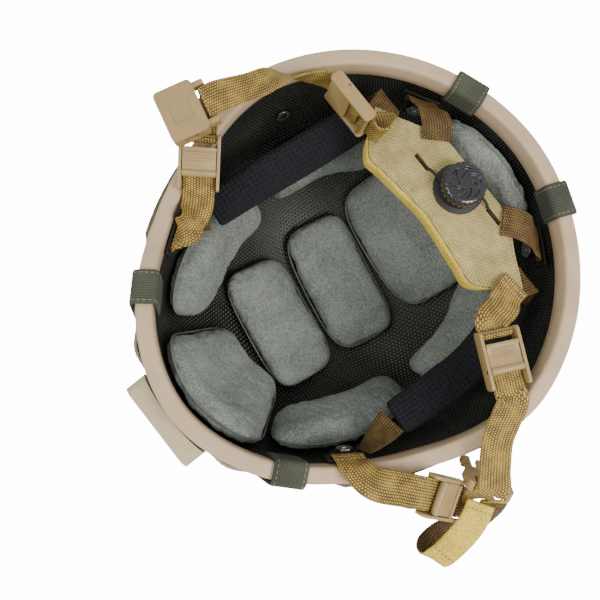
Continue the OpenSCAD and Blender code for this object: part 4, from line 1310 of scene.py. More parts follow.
@dataclass(frozen=True)
class Cushions:
    """The nine pads, filled by one short cloth simulation, with their bound seams.

    Rings are shares of the half size and of the thickness, from the shell's side to the head's.
    """

    off: float = 9.6
    thick: float = 15.0
    points: int = 56
    squareness: float = 0.46
    rings: tuple = (
        (0.25, 0.0), (0.5, 0.0), (0.9, 0.0), (0.98, 0.12), (1.0, 0.36), (0.95, 0.6), (0.86, 0.78),
        (0.66, 0.94), (0.35, 1.02), (0.16, 0.995),
    )
    pads: tuple = (
        RimPad("forehead_pad", (-20, 24), (38, 87), (38, 87)),
        RimPad("front_pad_right", (26, 86), (50, 79.5), (37, 58)),
        RimPad("front_pad_left", (26, 86), (50, 79.5), (37, 58), -1),
        RimPad("rear_pad_right", (97, 149), (39, 61), (52, 75)),
        RimPad("rear_pad_left", (97, 149), (39, 61), (52, 75), -1),
        RimPad("nape_rest_pad", (160, 200), (73, 91), (73, 91)),
        CrownPad("crown_pad_front", (-5.5, -42), (91, 51), -9),
        CrownPad("crown_pad_middle", (-1.5, 13.5), (98, 52.5), -11),
        CrownPad("crown_pad_rear", (1.6, 68.5), (100, 50), -6),
    )
    voxel: float = 3.4
    frames: int = 16
    most: float = 1.1
    hollow: float = 0.8
    crease: float = 1.5
    seam_points: int = 160
    seam_sides: int = 8
    seam_in: float = 0.995
    seam_up: float = 0.26
    seam_r: tuple = (0.6, 0.7)
    seam_girth: float = 7.0

    def corner(self, count: int) -> tuple[Array, Array]:
        """The pads' rounded outline, as shares of the half sizes."""
        t = angles(count)
        return squared(np.cos(t), self.squareness), squared(np.sin(t), self.squareness)

    def shape(self, pad: RimPad | CrownPad) -> bpy.types.Object:
        """One pad before it is filled.

        Args:
            pad: The pad's place.

        Returns:
            The piece.
        """
        x, y = self.corner(self.points)
        rings = np.array([
            pad.lay(x * r, y * r, np.full(self.points, self.off + self.thick * h)) for r, h in self.rings
        ])
        points, faces, _ = grid(rings, False)
        zero = np.zeros(1)
        tips = [pad.lay(zero, zero, zero + off) for off in (self.off, self.off + self.thick)]
        faces += fans(*rings.shape[:2])
        piece = mesh_piece(f"{pad.name}_cushion", np.concatenate([points, *tips]), faces)
        outward(piece)
        return piece

    def fill(self, piece: bpy.types.Object) -> None:
        """Remeshes a pad, then lets cloth under pressure find its skin's own lie.

        Args:
            piece: The pad.
        """
        remesh = piece.modifiers.new("even", "REMESH")
        remesh.mode, remesh.voxel_size = "VOXEL", self.voxel * MM
        applied(piece)
        self.inflate(piece)
        rounding = piece.modifiers.new("soft", "SUBSURF")
        rounding.levels = rounding.render_levels = 1
        applied(piece)
        self.dent(piece)

    def inflate(self, piece: bpy.types.Object) -> None:
        """Runs the cloth simulation, and caps how far each corner may move.

        Args:
            piece: The pad, evenly meshed.
        """
        before = corners(piece)
        cloth = piece.modifiers.new("filling", "CLOTH")
        settings = cloth.settings
        settings.quality = 6
        settings.mass = 0.15
        settings.tension_stiffness = settings.compression_stiffness = 14
        settings.bending_stiffness = 0.4
        settings.use_pressure = True
        settings.uniform_pressure_force = 4.0
        settings.shrink_min = -0.05
        settings.effector_weights.gravity = 0.0
        cloth.collision_settings.use_collision = False
        scene = bpy.context.scene
        scene.frame_start, scene.frame_end = 1, self.frames
        for step in range(1, self.frames + 1):
            scene.frame_set(step)
            bpy.context.view_layer.update()
        applied(piece)
        scene.frame_set(1)
        move = corners(piece) - before
        size = np.linalg.norm(move, axis=1, keepdims=True)
        set_corners(piece, before + move * np.minimum(1, self.most * MM / np.maximum(size, 1e-9)))

    def dent(self, piece: bpy.types.Object) -> None:
        """Soft hollows and slack creases in the skin, about a millimetre deep.

        Args:
            piece: The pad.
        """
        places = corners(piece)
        ridge = np.clip(creases(places, 85, (7, 3, 1)) - 0.5, 0, 1)
        push(piece, self.hollow * hollows(places, 55) - self.crease * ridge)
        piece.data.polygons.foreach_set("use_smooth", [True] * len(piece.data.polygons))

    def seam(self, pad: RimPad | CrownPad) -> bpy.types.Object:
        """The bound edge round a pad: a fine piping.

        Args:
            pad: The pad's place.

        Returns:
            The piece.
        """
        x, y = self.corner(self.seam_points)
        height = np.full(self.seam_points, self.off + self.thick * self.seam_up)
        middles = pad.lay(x * self.seam_in, y * self.seam_in, height)
        along = units(np.roll(middles, -1, 0) - np.roll(middles, 1, 0))
        out = middles - middles.mean(axis=0)
        out = units(out - along * np.sum(out * along, axis=1, keepdims=True))
        turns = angles(self.seam_sides)
        u, v = np.cos(turns) * self.seam_r[0], np.sin(turns) * self.seam_r[1]
        rings = ringed(middles, out, np.cross(along, out), u, v)
        uv = laid_out(run_lengths(closed(middles)), np.linspace(0, self.seam_girth, self.seam_sides + 1))
        return swept(f"{pad.name}_seam", rings, uv, wrap=True)

    def build(self) -> None:
        """All nine pads and their seams."""
        for pad in self.pads:
            piece = self.shape(pad)
            self.fill(piece)
            hand_over(piece, "helmet", PAD_CLOTH, (pad.name,))
            hand_over(self.seam(pad), "helmet", PAD_SEAM)


@dataclass(frozen=True)
class Sleeve:
    """A padded sleeve of spacer mesh round the harness webbing, with seams along both edges."""

    side: Side
    points: tuple
    lean: tuple
    width: float = 25.0
    thick: float = 11.0
    sides: int = 40
    end_share: float = 0.72
    swells: tuple = (0.022, 23)
    wrinkle: float = 0.5

    def build(self) -> None:
        """The sleeve, narrower at its ends, its two seams and its end stitches."""
        name = f"sleeve_{self.side.name.lower()}"
        middles, widths = dense([(list(p), list(self.lean)) for p in self.points], 26)
        across, thick = frames(middles, widths)
        n = len(middles)
        t = angles(self.sides)
        u = squared(np.cos(t), 0.6) * self.width / 2
        v = squared(np.sin(t), 0.7) * self.thick / 2
        k = np.linspace(0, 1, n)
        size = self.end_share + (1 - self.end_share) * np.clip(np.sin(math.pi * k), 0, 1) ** 0.3
        high, count = self.swells
        swell = (size * (1 + high * np.sin(k * count)))[:, None]
        girth = run_lengths(closed(np.stack([u, v], axis=1)))
        rings = ringed(middles, across, thick, u * swell, v * swell)
        piece = swept(f"{name}_padding", rings, laid_out(run_lengths(middles), girth))
        push(piece, self.wrinkle * hollows(corners(piece), 45, 0.9))
        hand_over(piece, "helmet", SPACER_MESH, (name,))
        edge = across[4:-4] * (self.width / 2 * size[4:-4, None] + 0.15) * 0.985
        lines = [middles[4:-4] + edge * side for side in (-1, 1)]
        Stitches(f"{name}_seam", lines, SLEEVE_THREAD, *SLEEVE_SEAM).sew("helmet")
        for end, at in (("front", 3), ("rear", n - 4)):
            ring = middles[at] + (across[at] * u[:, None] + thick[at] * v[:, None]) * size[at] * 1.012
            row = Stitches(f"{name}_{end}_stitches", [closed(ring)], SLEEVE_THREAD, *SLEEVE_END)
            row.sew("helmet")


# The nape pad and its dial


@dataclass(frozen=True)
class NapeCradle:
    """The padded nape piece with its bound edge, dial base, spool, knob and lace.

    Stations give x and y of the outer edge and of the inner edge, from the middle to the tip.
    """

    stations: tuple = (
        (0, 93, 0, 51), (12, 93.3, 12, 50), (24, 93.3, 24, 48.5), (34, 92, 36, 47), (47, 83.5, 46, 45.5),
        (60, 76, 54, 50.5), (70, 70, 61, 59),
    )
    z: float = 136.0
    thick: float = 8.0
    shares: tuple = (
        -1, -0.985, -0.95, -0.88, -0.8, -0.6, -0.4, -0.2, 0, 0.2, 0.4, 0.6, 0.8, 0.88, 0.95, 0.985,
    )
    highs: tuple = (
        0, 0.3, 0.43, 0.485, 0.465, 0.5, 0.505, 0.505, 0.505, 0.505, 0.505, 0.5, 0.465, 0.485, 0.43, 0.3,
    )
    dial: tuple = (0.0, 77.0, 140.3)
    slit_x: float = 26.0
    slit_half: tuple = (6.0, 1.4, 4.5)
    quilting: tuple = (-0.87, 0.86)
    dial_clear: float = 17.5
    knob_r: float = 13.5
    knob_up: float = 5.5
    lace_y: float = 6.9
    lace_r: float = 0.8

    def build(self) -> None:
        """Every piece of the cradle."""
        self.build_pad()
        self.build_binding()
        self.build_knob()
        self.build_lace()
        Hardware("dial_base", "nape", "dial_black", BLACK_PLASTIC, 0.3).build()
        Hardware("dial_spool", "dial_spool", "spool", PALE_PLASTIC, 0.15).build()

    def edges(self) -> tuple[Array, Array]:
        """The pad's two edges in plan, from the left tip to the right one.

        Returns:
            Points of the outer and of the inner edge.
        """
        left = [(-a, b, -c, d) for a, b, c, d in self.stations[:0:-1]]
        route = [([a, b, 0], [c, d, 1]) for a, b, c, d in (*left, *self.stations)]
        outer, inner = dense(route, 12)
        return outer[:, :2], inner[:, :2]

    def raised(self, flat: Array, z: Array) -> Array:
        """Points of a plan, each at its own height."""
        return np.concatenate([flat, np.broadcast_to(z, flat.shape[:-1])[..., None]], axis=-1)

    def build_pad(self) -> None:
        """The pad's cloth body, quilted along its edge, with slits for the lace."""
        outer, inner = self.edges()
        across, high = outline(self.shares, self.highs)
        middle, half = (outer + inner) / 2, (inner - outer) / 2
        flat = middle[:, None] + half[:, None] * across[None, :, None]
        uv = np.concatenate([flat, flat[:, :1]], axis=1) * MM
        piece = swept("nape_pad_cloth", self.raised(flat, self.z + self.thick * high), uv)
        self.slit(piece)
        piece.data.polygons.foreach_set("use_smooth", [True] * len(piece.data.polygons))
        piece.data.set_sharp_from_angle(angle=math.radians(50))
        self.crumple(piece)
        hand_over(piece, "nape", CORDURA, ("nape_pad",))
        lines = []
        for share in self.quilting:
            line = self.raised(middle + half * share, self.z + self.thick * 0.487)
            from_dial = np.hypot(line[:, 0], line[:, 1] - self.dial[1])
            clear = from_dial > self.dial_clear
            for part in np.split(np.arange(len(line)), np.flatnonzero(np.diff(clear.astype(int))) + 1):
                if len(part) > 8 and clear[part[4]]:
                    lines.append(line[part[4:-4]])
        Stitches("nape_pad_stitches", lines, TAN_THREAD, *QUILT_STITCH).sew("nape")

    def slit(self, piece: bpy.types.Object) -> None:
        """Cuts the two slits that the laces go down through.

        Args:
            piece: The pad's cloth.
        """
        faces = [[0, 1, 3, 2], [4, 6, 7, 5], [0, 4, 5, 1], [2, 3, 7, 6], [0, 2, 6, 4], [1, 5, 7, 3]]
        cutters = []
        for side in Side:
            at = np.array([side.value * self.slit_x, self.dial[1] + side.value * self.lace_y, self.z + 4])
            signs = np.array([[x, y, z] for x in (-1, 1) for y in (-1, 1) for z in (-1, 1)])
            box = signs * np.array(self.slit_half) + at
            cutter = mesh_piece(f"slit_{side.name.lower()}", box, faces)
            outward(cutter)
            cut = piece.modifiers.new("slit", "BOOLEAN")
            cut.operation, cut.solver, cut.object = "DIFFERENCE", "EXACT", cutter
            cutters.append(cutter)
        applied(piece)
        for cutter in cutters:
            bpy.data.objects.remove(cutter)

    def crumple(self, piece: bpy.types.Object) -> None:
        """Slack folds in the pad's cloth, away from its dial and its slits.

        Args:
            piece: The pad's cloth.
        """
        places = corners(piece) / MM
        aside = np.abs(places[:, 0])
        from_dial = np.hypot(places[:, 0], places[:, 1] - self.dial[1])
        free = smooth((aside - 33) / 8) + smooth((from_dial - 19) / 6) * smooth((20 - aside) / 4)
        ridge = np.clip(creases(places, 0.06, (4, 9, 2)) - 0.4, 0, 1)
        folds = np.clip(free, 0, 1) * (0.8 * hollows(places, 0.05) - 1.0 * ridge)
        places[:, 2] += folds * np.sign(places[:, 2] - self.z)
        set_corners(piece, places * MM)

    def build_binding(self) -> None:
        """The suede binding along the inner edge, folded over it."""
        outer, inner = self.edges()
        out = units(inner - outer)
        section = (
            (0.3, -4.4), (0.3, 0), (0.3, 4.4), (0.7, 4.75), (1.4, 4.5), (1.95, 3.9), (2.2, 3.1), (2.25, 0),
            (2.2, -3.1), (1.95, -3.9), (1.4, -4.5), (0.7, -4.75),
        )
        rings = np.array([self.raised(inner + out * a, self.z + b) for a, b in section]).transpose(1, 0, 2)
        uv = laid_out(run_lengths(inner), np.linspace(0, 21, len(section) + 1))
        hand_over(swept("nape_binding_suede", rings, uv), "nape", SUEDE, ("nape_binding",))
        line = self.raised(inner + out * 1.2, self.z + 4.62)
        Stitches("nape_binding_stitches", [line[3:-3]], TAN_THREAD, *BINDING_STITCH).sew("nape")

    def build_knob(self) -> None:
        """The knob: scalloped grip, rounded shoulder, spiral vanes round a plain hub."""
        count, scallops, scallop, vanes = 288, 24, 0.75, 6
        hub_r, well_r, face_z, vane_z = 3.4, 9.8, 7.45, 1.15
        a = angles(count)
        grip = np.clip(np.cos(a * scallops), 0, 1)
        r_max = self.knob_r
        profile = (
            (2.5, -2.1, 0), (2.5, 0, 0), (11.9, 0, 0), (12.7, 0.25, 0.5), (13.3, 0.8, 0.9), (r_max, 1.5, 1),
            (r_max, 3, 1), (r_max, 4.6, 1), (13.35, 5.4, 0.9), (12.9, 6.2, 0.6), (12.2, 6.85, 0.25),
            (11.4, 7.3, 0.05), (10.8, face_z, 0), (10.4, 7.5, 0), (10.1, 7.46, 0),
        )
        stack = [(r - scallop * share * grip, z) for r, z, share in profile]
        for r in np.linspace(well_r, hub_r, 22):
            vane = smooth((np.cos((a + 0.16 * (r - hub_r)) * vanes) + 0.25) * 2.2)
            fade = float(smooth((well_r - r) / 0.9) * smooth((r - hub_r) / 0.9))
            stack.append((r, face_z - vane_z * fade * vane))
        stack += [(3.2, 7.42), (2.6, 7.3), (1.2, 7.15)]
        lift = np.array(self.dial) + [0, 0, self.knob_up]
        rings = [self.raised(np.stack([r * np.cos(a), r * np.sin(a)], axis=1), z) + lift for r, z in stack]
        piece = cup("dial_knob_turned", np.array(rings), (lift + [0, 0, -2.1], lift + [0, 0, 7.12]))
        piece.data.set_sharp_from_angle(angle=math.radians(60))
        hand_over(piece, "dial_knob", DIAL_GLOSS, ("dial_knob",))

    def build_lace(self) -> None:
        """The two laces from the spool down through the pad's slits."""
        line = ((0.5, 0), (8, 0), (14, 0), (17.5, -0.6), (20, -2.4), (22.5, -4.6), (25.5, -5.6), (30, -5.8))
        middles, widths = dense([([x, self.lace_y, 3.3 + z], [0, 1, 0]) for x, z in line], 8)
        a = angles(12)
        rings = ringed(middles, *frames(middles, widths), np.cos(a) * self.lace_r, np.sin(a) * self.lace_r)
        uv = laid_out(run_lengths(middles), np.linspace(0, 5, len(a) + 1))
        for side, nodes in ((Side.RIGHT, ("dial_lace",)), (Side.LEFT, ())):
            turned = rings * np.array([side.value, side.value, 1]) + np.array(self.dial)
            piece = swept(f"dial_lace_{side.name.lower()}", turned, uv)
            hand_over(piece, "nape", LACE_BRAID, nodes)


# The harness


REAR_LEFT = Place((-76.5, 50, 153), (1, 0, 0), (0, 0, -1))
FRONT_LEFT = Place((-106, -34, 129.5), (-0.71, 0.6, 0.36), (-0.6, -0.8, 0))
REAR_RIGHT = Place((89.6, 29, 148.5), (-0.89, 0.45, 0), (-0.45, -0.89, 0))
FRONT_RIGHT = Place((133, -43, 122), (0.67, 0.47, -0.58), (-0.5, 0.85, 0.1))
SOCKET_AT = Place((-125.7, -11.7, 148), (-0.23, -0.96, -0.15), (0.97, -0.24, 0))
PLUG_AT = Place((147, -18.8, 127), (-0.27, 0.42, -0.87), (0.84, 0.54, 0))
REAR_ANCHOR = DOME.seat(150, 114)
FRONT_ANCHORS = {side: DOME.seat(50 * side.value, 101) for side in Side}
BAR_X, LOOP_R = 14.5, 2.6
BRACKET_TOP, BRACKET_T = -10.5, 1.6


def passing(*stations: tuple) -> Route:
    """A route through stations, each a middle and a direction of the width in six numbers."""
    return [(list(s[:3]), list(s[3:])) for s in stations]


def from_slot(at: Place, sign: int, steps: tuple) -> Route:
    """The webbing's way out of an anchor bracket's slot.

    Args:
        at: The bracket's seat.
        sign: Which way the width points along the rim.
        steps: Pairs of height up the wall and depth inside the slot's mouth.

    Returns:
        The stretch.
    """
    mouth = BRACKET_TOP - BRACKET_T
    return [(list(at.out(0, y, mouth - d)), list(sign * at.axes()[0])) for y, d in steps]


def through(at: Place, *xs: float) -> Route:
    """The webbing's straight stretch through a slider's clamp."""
    return [(list(at.out(x, 0, 0)), list(at.across())) for x in xs]


def round_bar(at: Place, back: float, side: int) -> Route:
    """The webbing's turn round a slider's bar.

    Args:
        at: The slider's frame.
        back: Where the turn starts, before the bar.
        side: 1 if it starts on the frame's upper side, else -1.

    Returns:
        The stretch.
    """
    near, far = BAR_X - 0.7 * LOOP_R, BAR_X - LOOP_R
    turn = ((BAR_X + back, 0.8), (BAR_X, 1), (near, 0.7), (far, 0), (near, -0.7), (BAR_X, -1))
    return [(list(at.out(x, 0, side * z * LOOP_R)), list(at.across())) for x, z in turn]


def over_bar(at: Place, *points: tuple) -> Route:
    """The webbing's turn round a buckle's bar, in shares of the turn's radius, the second one upwards."""
    k = -1 if at.axes()[2][2] < 0 else 1
    return [(list(at.out(x * LOOP_R, 0, k * z * LOOP_R)), list(-at.across())) for x, z in points]


def mirrored(route: Route) -> Route:
    """A route on the other side of the helmet, its width kept in step."""
    return [([-p[0], p[1], p[2]], [-w[0], w[1], w[2]]) for p, w in route]


@dataclass(frozen=True)
class Strap:
    """A strap of the harness: its look, and the one or two bodies that it lies between; it rides along only
    when there is one.

    Reach, the shares of its length between which it would bend, is not used. Seams gives the shares
    of its cross stitches. It stands for its own node, unless nodes says otherwise.
    """

    node: str
    route: Route
    bodies: tuple
    finish: Finish = WEBBING
    slot: str = "webbing"
    width: float = 19.0
    thick: float = 1.4
    reach: tuple = (0.0, 1.0)
    seams: tuple = ()
    back: Finish | None = None
    nodes: tuple | None = None

    def build(self) -> None:
        """The strap, riding on its body when it has just one, and its cross stitches."""
        ribbon = Ribbon(f"{self.node}_cloth", self.route, self.width, self.thick)
        piece = ribbon.build()
        middles, across, thick = ribbon.line()
        self.attach(piece, self.finish, (self.node,) if self.nodes is None else self.nodes)
        if self.back:
            self.line_back(piece, 2 * len(ribbon.shares))
        lines = []
        for share in self.seams:
            i = int(share * (len(middles) - 1))
            row = [middles[i] + across[i] * side * self.width * 0.4 for side in (-1, -0.33, 0.33, 1)]
            lines += [np.array(row) + thick[i] * face * self.thick * 0.52 for face in (-1, 1)]
        if lines:
            thread = TAN_THREAD if self.finish is WEBBING else DARK_THREAD
            sewn = Stitches(f"{self.node}_stitches", lines, thread, *CROSS_STITCH).build()
            self.attach(sewn, thread, ())

    def line_back(self, piece: bpy.types.Object, columns: int) -> None:
        """Gives the strap's lower face its own finish.

        Args:
            piece: The strap.
            columns: Faces round its section.
        """
        piece.data.materials.append(self.back.material())
        for polygon in piece.data.polygons:
            polygon.material_index = 1 if polygon.index % columns >= columns // 2 else 0

    def attach(
        self, piece: bpy.types.Object, finish: Finish, nodes: tuple
    ) -> None:
        """Dresses a piece, and lets it ride on the strap's body when it has just one.

        Args:
            piece: The strap or its stitches.
            finish: Its finish.
            nodes: The CAD nodes that it stands for.
        """
        dress(piece, finish, nodes)
        if len(self.bodies) == 1:
            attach(piece, self.bodies[0])
        else:
            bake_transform(piece)


@dataclass(frozen=True)
class Harness:
    """Straps, sliders, buckle, sleeves and chin strap."""

    def rear_straps(self) -> list[Strap]:
        """The straps from the rear anchors, and the links from the nape pad to the rear sliders.

        Returns:
            The straps.
        """
        rear = from_slot(REAR_ANCHOR, 1, ((8, 1.3), (13, 2.4))) + passing(
            (53, 100, 132, -0.8, 0.55, 0), (46, 97, 139, -0.7, 0.65, 0), (38, 92, 142, -0.6, 0.8, 0),
            (31, 86, 141.4, -0.65, 0.76, 0),
        )
        link_left = passing(
            (-65, 67.5, 141, -0.6, -0.8, 0), (-58, 62.5, 148, -0.5, -0.65, -0.5),
            (-51.5, 56.5, 152.5, -0.1, -0.2, -1),
        ) + round_bar(REAR_LEFT, 8, 1)
        link_right = passing(
            (65, 67.5, 141.4, -0.6, 0.8, 0), (66, 60, 142, -0.95, 0.3, 0),
            (69, 50, 145, -0.85, -0.45, -0.25),
        ) + round_bar(REAR_RIGHT, 7, -1)
        brown = {"finish": BROWN_WEBBING, "slot": "brown_webbing", "seams": (0.9, 0.95)}
        near = {"reach": (0, 0.45)}
        return [
            Strap("rear_strap_right", rear, ("helmet", "nape"), **brown),
            Strap("rear_strap_left", mirrored(rear), ("helmet", "nape"), **brown),
            Strap("nape_link_left", link_left, ("nape", "slider_rear_left"), seams=(0.05,), **near),
            Strap("nape_link_right", link_right, ("nape", "slider_rear_right"), seams=(0.05, 0.1), **near),
        ]

    def side_straps(self) -> list[Strap]:
        """The straps from the rear sliders to the buckle's two halves.

        Returns:
            The straps.
        """
        left = through(REAR_LEFT, 9, -6, -19) + passing(
            (-105, 38.5, 155, -0.45, -0.2, -0.85), (-112.5, 25, 156.5, -0.85, -0.25, -0.45),
            (-118, 12, 153, -0.93, -0.1, -0.3), (-122.5, 0, 151.5, -0.97, 0.1, -0.1),
        ) + over_bar(SOCKET_AT, (-2.4, 0.95), (0, 1), (0.7, 0.7), (1, 0))
        right = through(REAR_RIGHT, 9, -6, -19, -25) + passing(
            (123, -1, 144.5, -0.6, -0.8, 0), (137, -12, 137.5, -0.64, -0.77, 0)
        ) + over_bar(PLUG_AT, (-1.4, 1.6), (-1, 0), (-0.7, -0.7), (0, -1), (0.7, -0.7))
        return [
            Strap("side_strap_left", left, ("nape", "helmet"), seams=(0.86, 0.9)),
            Strap("side_strap_right", right, ("nape", "helmet"), seams=(0.8,)),
        ]

    def front_straps(self) -> list[Strap]:
        """The straps from the front anchors, and the links from the front sliders to the buckle.

        Returns:
            The straps.
        """
        slots = {side: from_slot(FRONT_ANCHORS[side], side.value, ((8, 1.2), (12, 1.5))) for side in Side}
        left = slots[Side.LEFT] + passing(
            (-80.5, -68, 119.5, -0.6, 0.8, 0), (-81, -59, 122, -0.75, 0.45, 0.5)
        ) + through(FRONT_LEFT, -23, -6, 8)
        right = slots[Side.RIGHT] + passing(
            (87, -71, 124.5, 0.66, 0.75, 0.1), (99, -69.5, 130.5, 0.6, 0.8, 0.1),
            (111, -60, 132, 0.55, 0.83, 0),
        ) + through(FRONT_RIGHT, -19, -6, 8)
        socket = round_bar(FRONT_LEFT, 6, -1)[::-1] + passing(
            (-124.6, -15.4, 139.5, -0.97, 0.24, 0), (-125.2, -12.8, 144.4, -0.97, 0.24, 0)
        )
        plug = round_bar(FRONT_RIGHT, 4, 1)[::-1] + passing(
            (148.8, -29.5, 113.5, 0.1, 0.95, 0.2), (148.2, -24.8, 119, 0.7, 0.7, 0),
            (147.6, -22.2, 122, 0.84, 0.54, 0),
        )
        return [
            Strap("front_strap_left", left, ("helmet",), seams=(0.2,)),
            Strap("front_strap_right", right, ("helmet",), seams=(0.18, 0.22)),
            Strap("socket_link", socket, ("slider_front_left", "helmet"), reach=(0.55, 1)),
            Strap("plug_link", plug, ("slider_front_right", "helmet"), reach=(0.55, 1)),
        ]

    def chin_strap(self) -> Strap:
        """The suede chin strap, backed with webbing, in its folded lobe beside the plug.

        Returns:
            The strap.
        """
        route = passing(
            (150.6, -27.2, 124.2, 0.84, 0.54, 0), (157, -38.5, 120.5, 0.94, 0.31, 0),
            (162.5, -55, 112, 0.92, 0.36, 0), (164, -66, 104, 0.92, 0.36, 0), (160, -64, 96, 0.92, 0.36, 0),
            (161, -50, 94, 0.92, 0.3, -0.1), (167, -37, 97, 0.85, 0.25, -0.4),
            (166, -24, 104, 0.75, 0.05, -0.6), (159.5, -18, 113.5, 0.8, 0.3, -0.4),
        )
        look = {"seams": (0.06, 0.3), "back": BROWN_WEBBING}
        return Strap("chin_strap", route, ("helmet",), SUEDE, "suede", 17.0, 2.4, **look)

    def sleeve_ends(self) -> list[Strap]:
        """The webbing that runs out of the sleeves to the brackets and the nape.

        Returns:
            Four straps, the first of which stands for their common node.
        """
        depth = BRACKET_TOP - BRACKET_T / 2 - 0.6
        slots = {
            side: [(list(at.out(12 * side.value, -1, depth)), list(at.axes()[1]))]
            for side, at in FRONT_ANCHORS.items()
        }
        lead_right = slots[Side.RIGHT] + passing(
            (88.7, -50, 100.5, 0.5, 0, 0.85), (87.6, -33.8, 98.2, 1, 0, 0.45)
        )
        lead_left = slots[Side.LEFT] + passing(
            (-87.2, -52.3, 100.4, -0.45, 0, 0.9), (-85, -45, 98.1, -1, 0, 0.45)
        )
        tail_left = passing(
            (-71.9, 77.2, 119.2, -1, 0, 0.3), (-71, 83.2, 121.6, -1, 0, 0.1), (-70, 85.6, 126, -1, 0, 0),
            (-68.5, 82, 130.2, -1, 0, 0), (-66.5, 75, 131, -1, 0, 0), (-65, 68, 131.2, -1, 0, 0),
        )
        tail_right = passing(
            (75.4, 72.7, 114.9, 1, 0.25, 0.3), (73.2, 79, 117.5, 1, 0.2, 0.1), (71.5, 82.8, 122.5, 1, 0.1, 0),
            (69.8, 81, 128.2, 1, 0, 0), (67.5, 75, 131, 1, 0, 0), (65.5, 68, 131.2, 1, 0, 0),
        )
        brown = {"finish": BROWN_WEBBING, "slot": "brown_webbing"}
        return [
            Strap("sleeve_lead_right", lead_right, ("helmet",), nodes=("sleeve_webbing",), **brown),
            Strap("sleeve_lead_left", lead_left, ("helmet",), nodes=(), **brown),
            Strap("sleeve_tail_left", tail_left, ("helmet", "nape"), nodes=(), **brown),
            Strap("sleeve_tail_right", tail_right, ("helmet", "nape"), nodes=(), **brown),
        ]

    def build(self) -> None:
        """The whole harness."""
        straps = self.rear_straps() + self.side_straps() + self.front_straps()
        for strap in [*straps, self.chin_strap(), *self.sleeve_ends()]:
            strap.build()
        left = ((-85, -41.5, 98), (-82.6, -13.3, 103), (-79, 15.6, 108), (-74.8, 48, 114), (-72, 76, 119))
        right = ((87.5, -31, 98), (90, -5, 101), (91, 26, 104), (85.5, 51, 109), (76, 71, 114.5))
        Sleeve(Side.LEFT, left, (-1, 0, 0.45)).build()
        Sleeve(Side.RIGHT, right, (1, 0.2, 0.45)).build()
        sliders = {
            "rear_left": REAR_LEFT, "rear_right": REAR_RIGHT,
            "front_left": FRONT_LEFT, "front_right": FRONT_RIGHT,
        }
        for corner, place in sliders.items():
            self.slider(corner, place)
        Hardware("buckle_socket", "socket", "tan_plastic", TAN_PLASTIC, 0.5, 3).build()
        Hardware("buckle_plug", "plug", "tan_plastic", TAN_PLASTIC, 0.4).build()

    def slider(self, corner: str, place: Place) -> None:
        """A cam slider: frame, lever, pin and the fine grip ribs across the lever's lip.

        Args:
            corner: Which of the four it is.
            place: Its frame.
        """
        Hardware(f"slider_{corner}", f"slider_{corner}", "tan_plastic", TAN_PLASTIC, 0.3).build()
        Hardware(f"lever_{corner}", f"lever_{corner}", "tan_plastic", TAN_PLASTIC, 0.3).build()
        Hardware(f"slider_pin_{corner}", f"slider_{corner}", "bright_steel", BRIGHT_STEEL, 0.2).build()
        lip = np.array([place.out(x, 0, 4.45) for x in (1.0, 5.8)])
        across = tuple(place.across())
        ribs = Stitches(f"lever_{corner}_ribs", [lip], TAN_PLASTIC, *LEVER_RIBS, across=across)
        ribs.sew(f"lever_{corner}")


@dataclass(frozen=True)
class Fittings:
    """Shroud, rails, brackets, bolts, nuts, screws and hook discs, each from its CAD node.

    Each row gives the node, slot and finish, then the bevel's width and its steps.
    """

    rows: tuple = (
        ("front_shroud", "shroud", SHROUD_PLASTIC, 0.8, 3),
        ("shroud_screws", "dark_steel", DARK_STEEL, 0.3, 2),
        ("side_rail_left", "rail", RAIL_PLASTIC, 0.5, 2),
        ("side_rail_right", "rail", RAIL_PLASTIC, 0.5, 2),
        ("rail_screws", "dark_steel", DARK_STEEL, 0.3, 2),
        ("anchor_brackets", "dark_steel", DARK_STEEL, 0.3, 2),
        ("anchor_bolts", "bright_steel", BRIGHT_STEEL, 0.35, 2),
        ("inner_nuts", "bright_steel", BRIGHT_STEEL, 0.3, 2),
        ("hook_discs", "hook_tape", HOOK_TAPE, 0.2, 1),
    )

    def build(self) -> None:
        """Every fitting."""
        for node, slot, finish, bevel, segments in self.rows:
            Hardware(node, "helmet", slot, finish, bevel, segments).build()


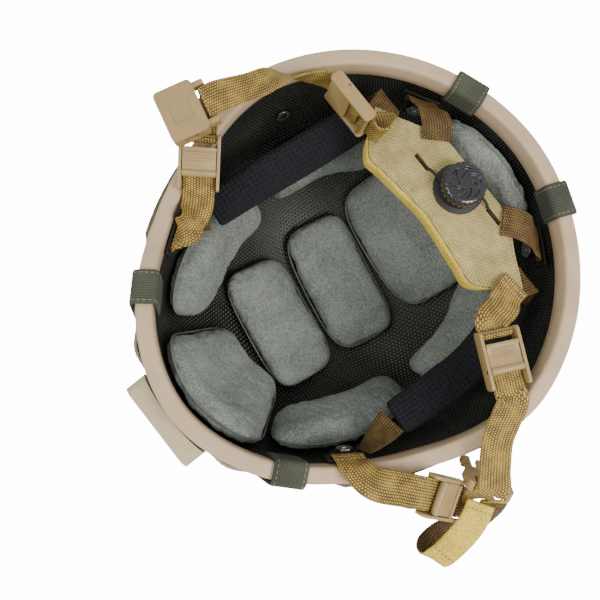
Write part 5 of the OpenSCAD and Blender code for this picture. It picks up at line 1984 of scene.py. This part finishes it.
@dataclass(frozen=True)
class Studio:
    """A pale floor, a wide soft key light, a fill, and the camera.

    The lamps' rows give name, place in metres, watts, size in metres and colour.
    """

    location: tuple = (0.8, -99.0, 482.4)
    right: tuple = (0.6198, 0.7736, 0.1317)
    up: tuple = (-0.7836, 0.6012, 0.1564)
    picture_px: float = 600.0
    focal_px: float = 620.6
    sensor_mm: float = 36.0
    shift: tuple = (-0.01, -0.0367)
    floor_half: float = 9000.0
    floor_z: float = -0.05
    lamps: tuple = (
        ("key_light", (0.95, 0.15, 1.3), 21.0, 0.7, "#fffaf2"),
        ("fill_light", (-0.35, -1.05, 1.3), 10.0, 0.8, "#fff9f0"),
    )
    aim: tuple = (0, 0, 0.1)
    surround: str = "#fafaf8"
    surround_seen: float = 13.1
    surround_light: float = 0.9

    def build(self) -> None:
        """Floor, lights, surround and camera."""
        self.floor()
        for lamp in self.lamps:
            self.light(*lamp)
        self.world()
        self.camera()

    def floor(self) -> None:
        """The floor under the helmet."""
        half, z = self.floor_half, self.floor_z
        square = np.array([[-half, -half, z], [half, -half, z], [half, half, z], [-half, half, z]])
        piece = mesh_piece("studio_floor", square, [[0, 1, 2, 3]])
        piece.data.materials.append(FLOOR_PAPER.material())

    def light(self, name: str, place: tuple, power: float, size: float, colour: str) -> None:
        """A soft square light aimed at the helmet.

        Args:
            name: The lamp's name.
            place: Where it stands, in metres.
            power: Its power in watts.
            size: Its side in metres.
            colour: Its colour as sRGB hex.
        """
        data = bpy.data.lights.new(name, "AREA")
        data.energy, data.size, data.color = power, size, linear(colour)[:3]
        lamp = bpy.data.objects.new(name, data)
        lamp.location = place
        lamp.rotation_euler = (Vector(self.aim) - Vector(place)).to_track_quat("-Z", "Y").to_euler()
        bpy.context.scene.collection.objects.link(lamp)

    def world(self) -> None:
        """The pale surround."""
        world = bpy.data.worlds.new("pale_surround")
        world.use_nodes = True
        tree = world.node_tree
        inputs = tree.nodes["Background"].inputs
        inputs["Color"].default_value = linear(self.surround)
        tree.links.new(seen_times(tree, self.surround_seen, self.surround_light), inputs["Strength"])
        bpy.context.scene.world = world

    def camera(self) -> None:
        """The camera, placed by fitting the rim's outline."""
        data = bpy.data.cameras.new("picture_camera")
        data.sensor_width = self.sensor_mm
        data.lens = self.focal_px / self.picture_px * self.sensor_mm
        data.shift_x, data.shift_y = self.shift
        data.clip_start, data.clip_end = 0.01, 20.0
        camera = bpy.data.objects.new("picture_camera", data)
        right, up = Vector(self.right), Vector(self.up)
        turn = Matrix((right, up, right.cross(up))).transposed().to_4x4()
        camera.matrix_world = Matrix.Translation(Vector(self.location) * MM) @ turn
        bpy.context.scene.collection.objects.link(camera)
        bpy.context.scene.camera = camera


def main() -> None:
    """Builds the whole picture."""
    for part in (Shell(), ClothCover(), Fittings(), NapeCradle(), Cushions(), Harness(), Studio()):
        LOG.info("building %s", type(part).__name__)
        part.build()
    bpy.context.view_layer.update()


if __name__ == "__main__":
    logging.basicConfig(level=logging.INFO, format="%(message)s")
    main()
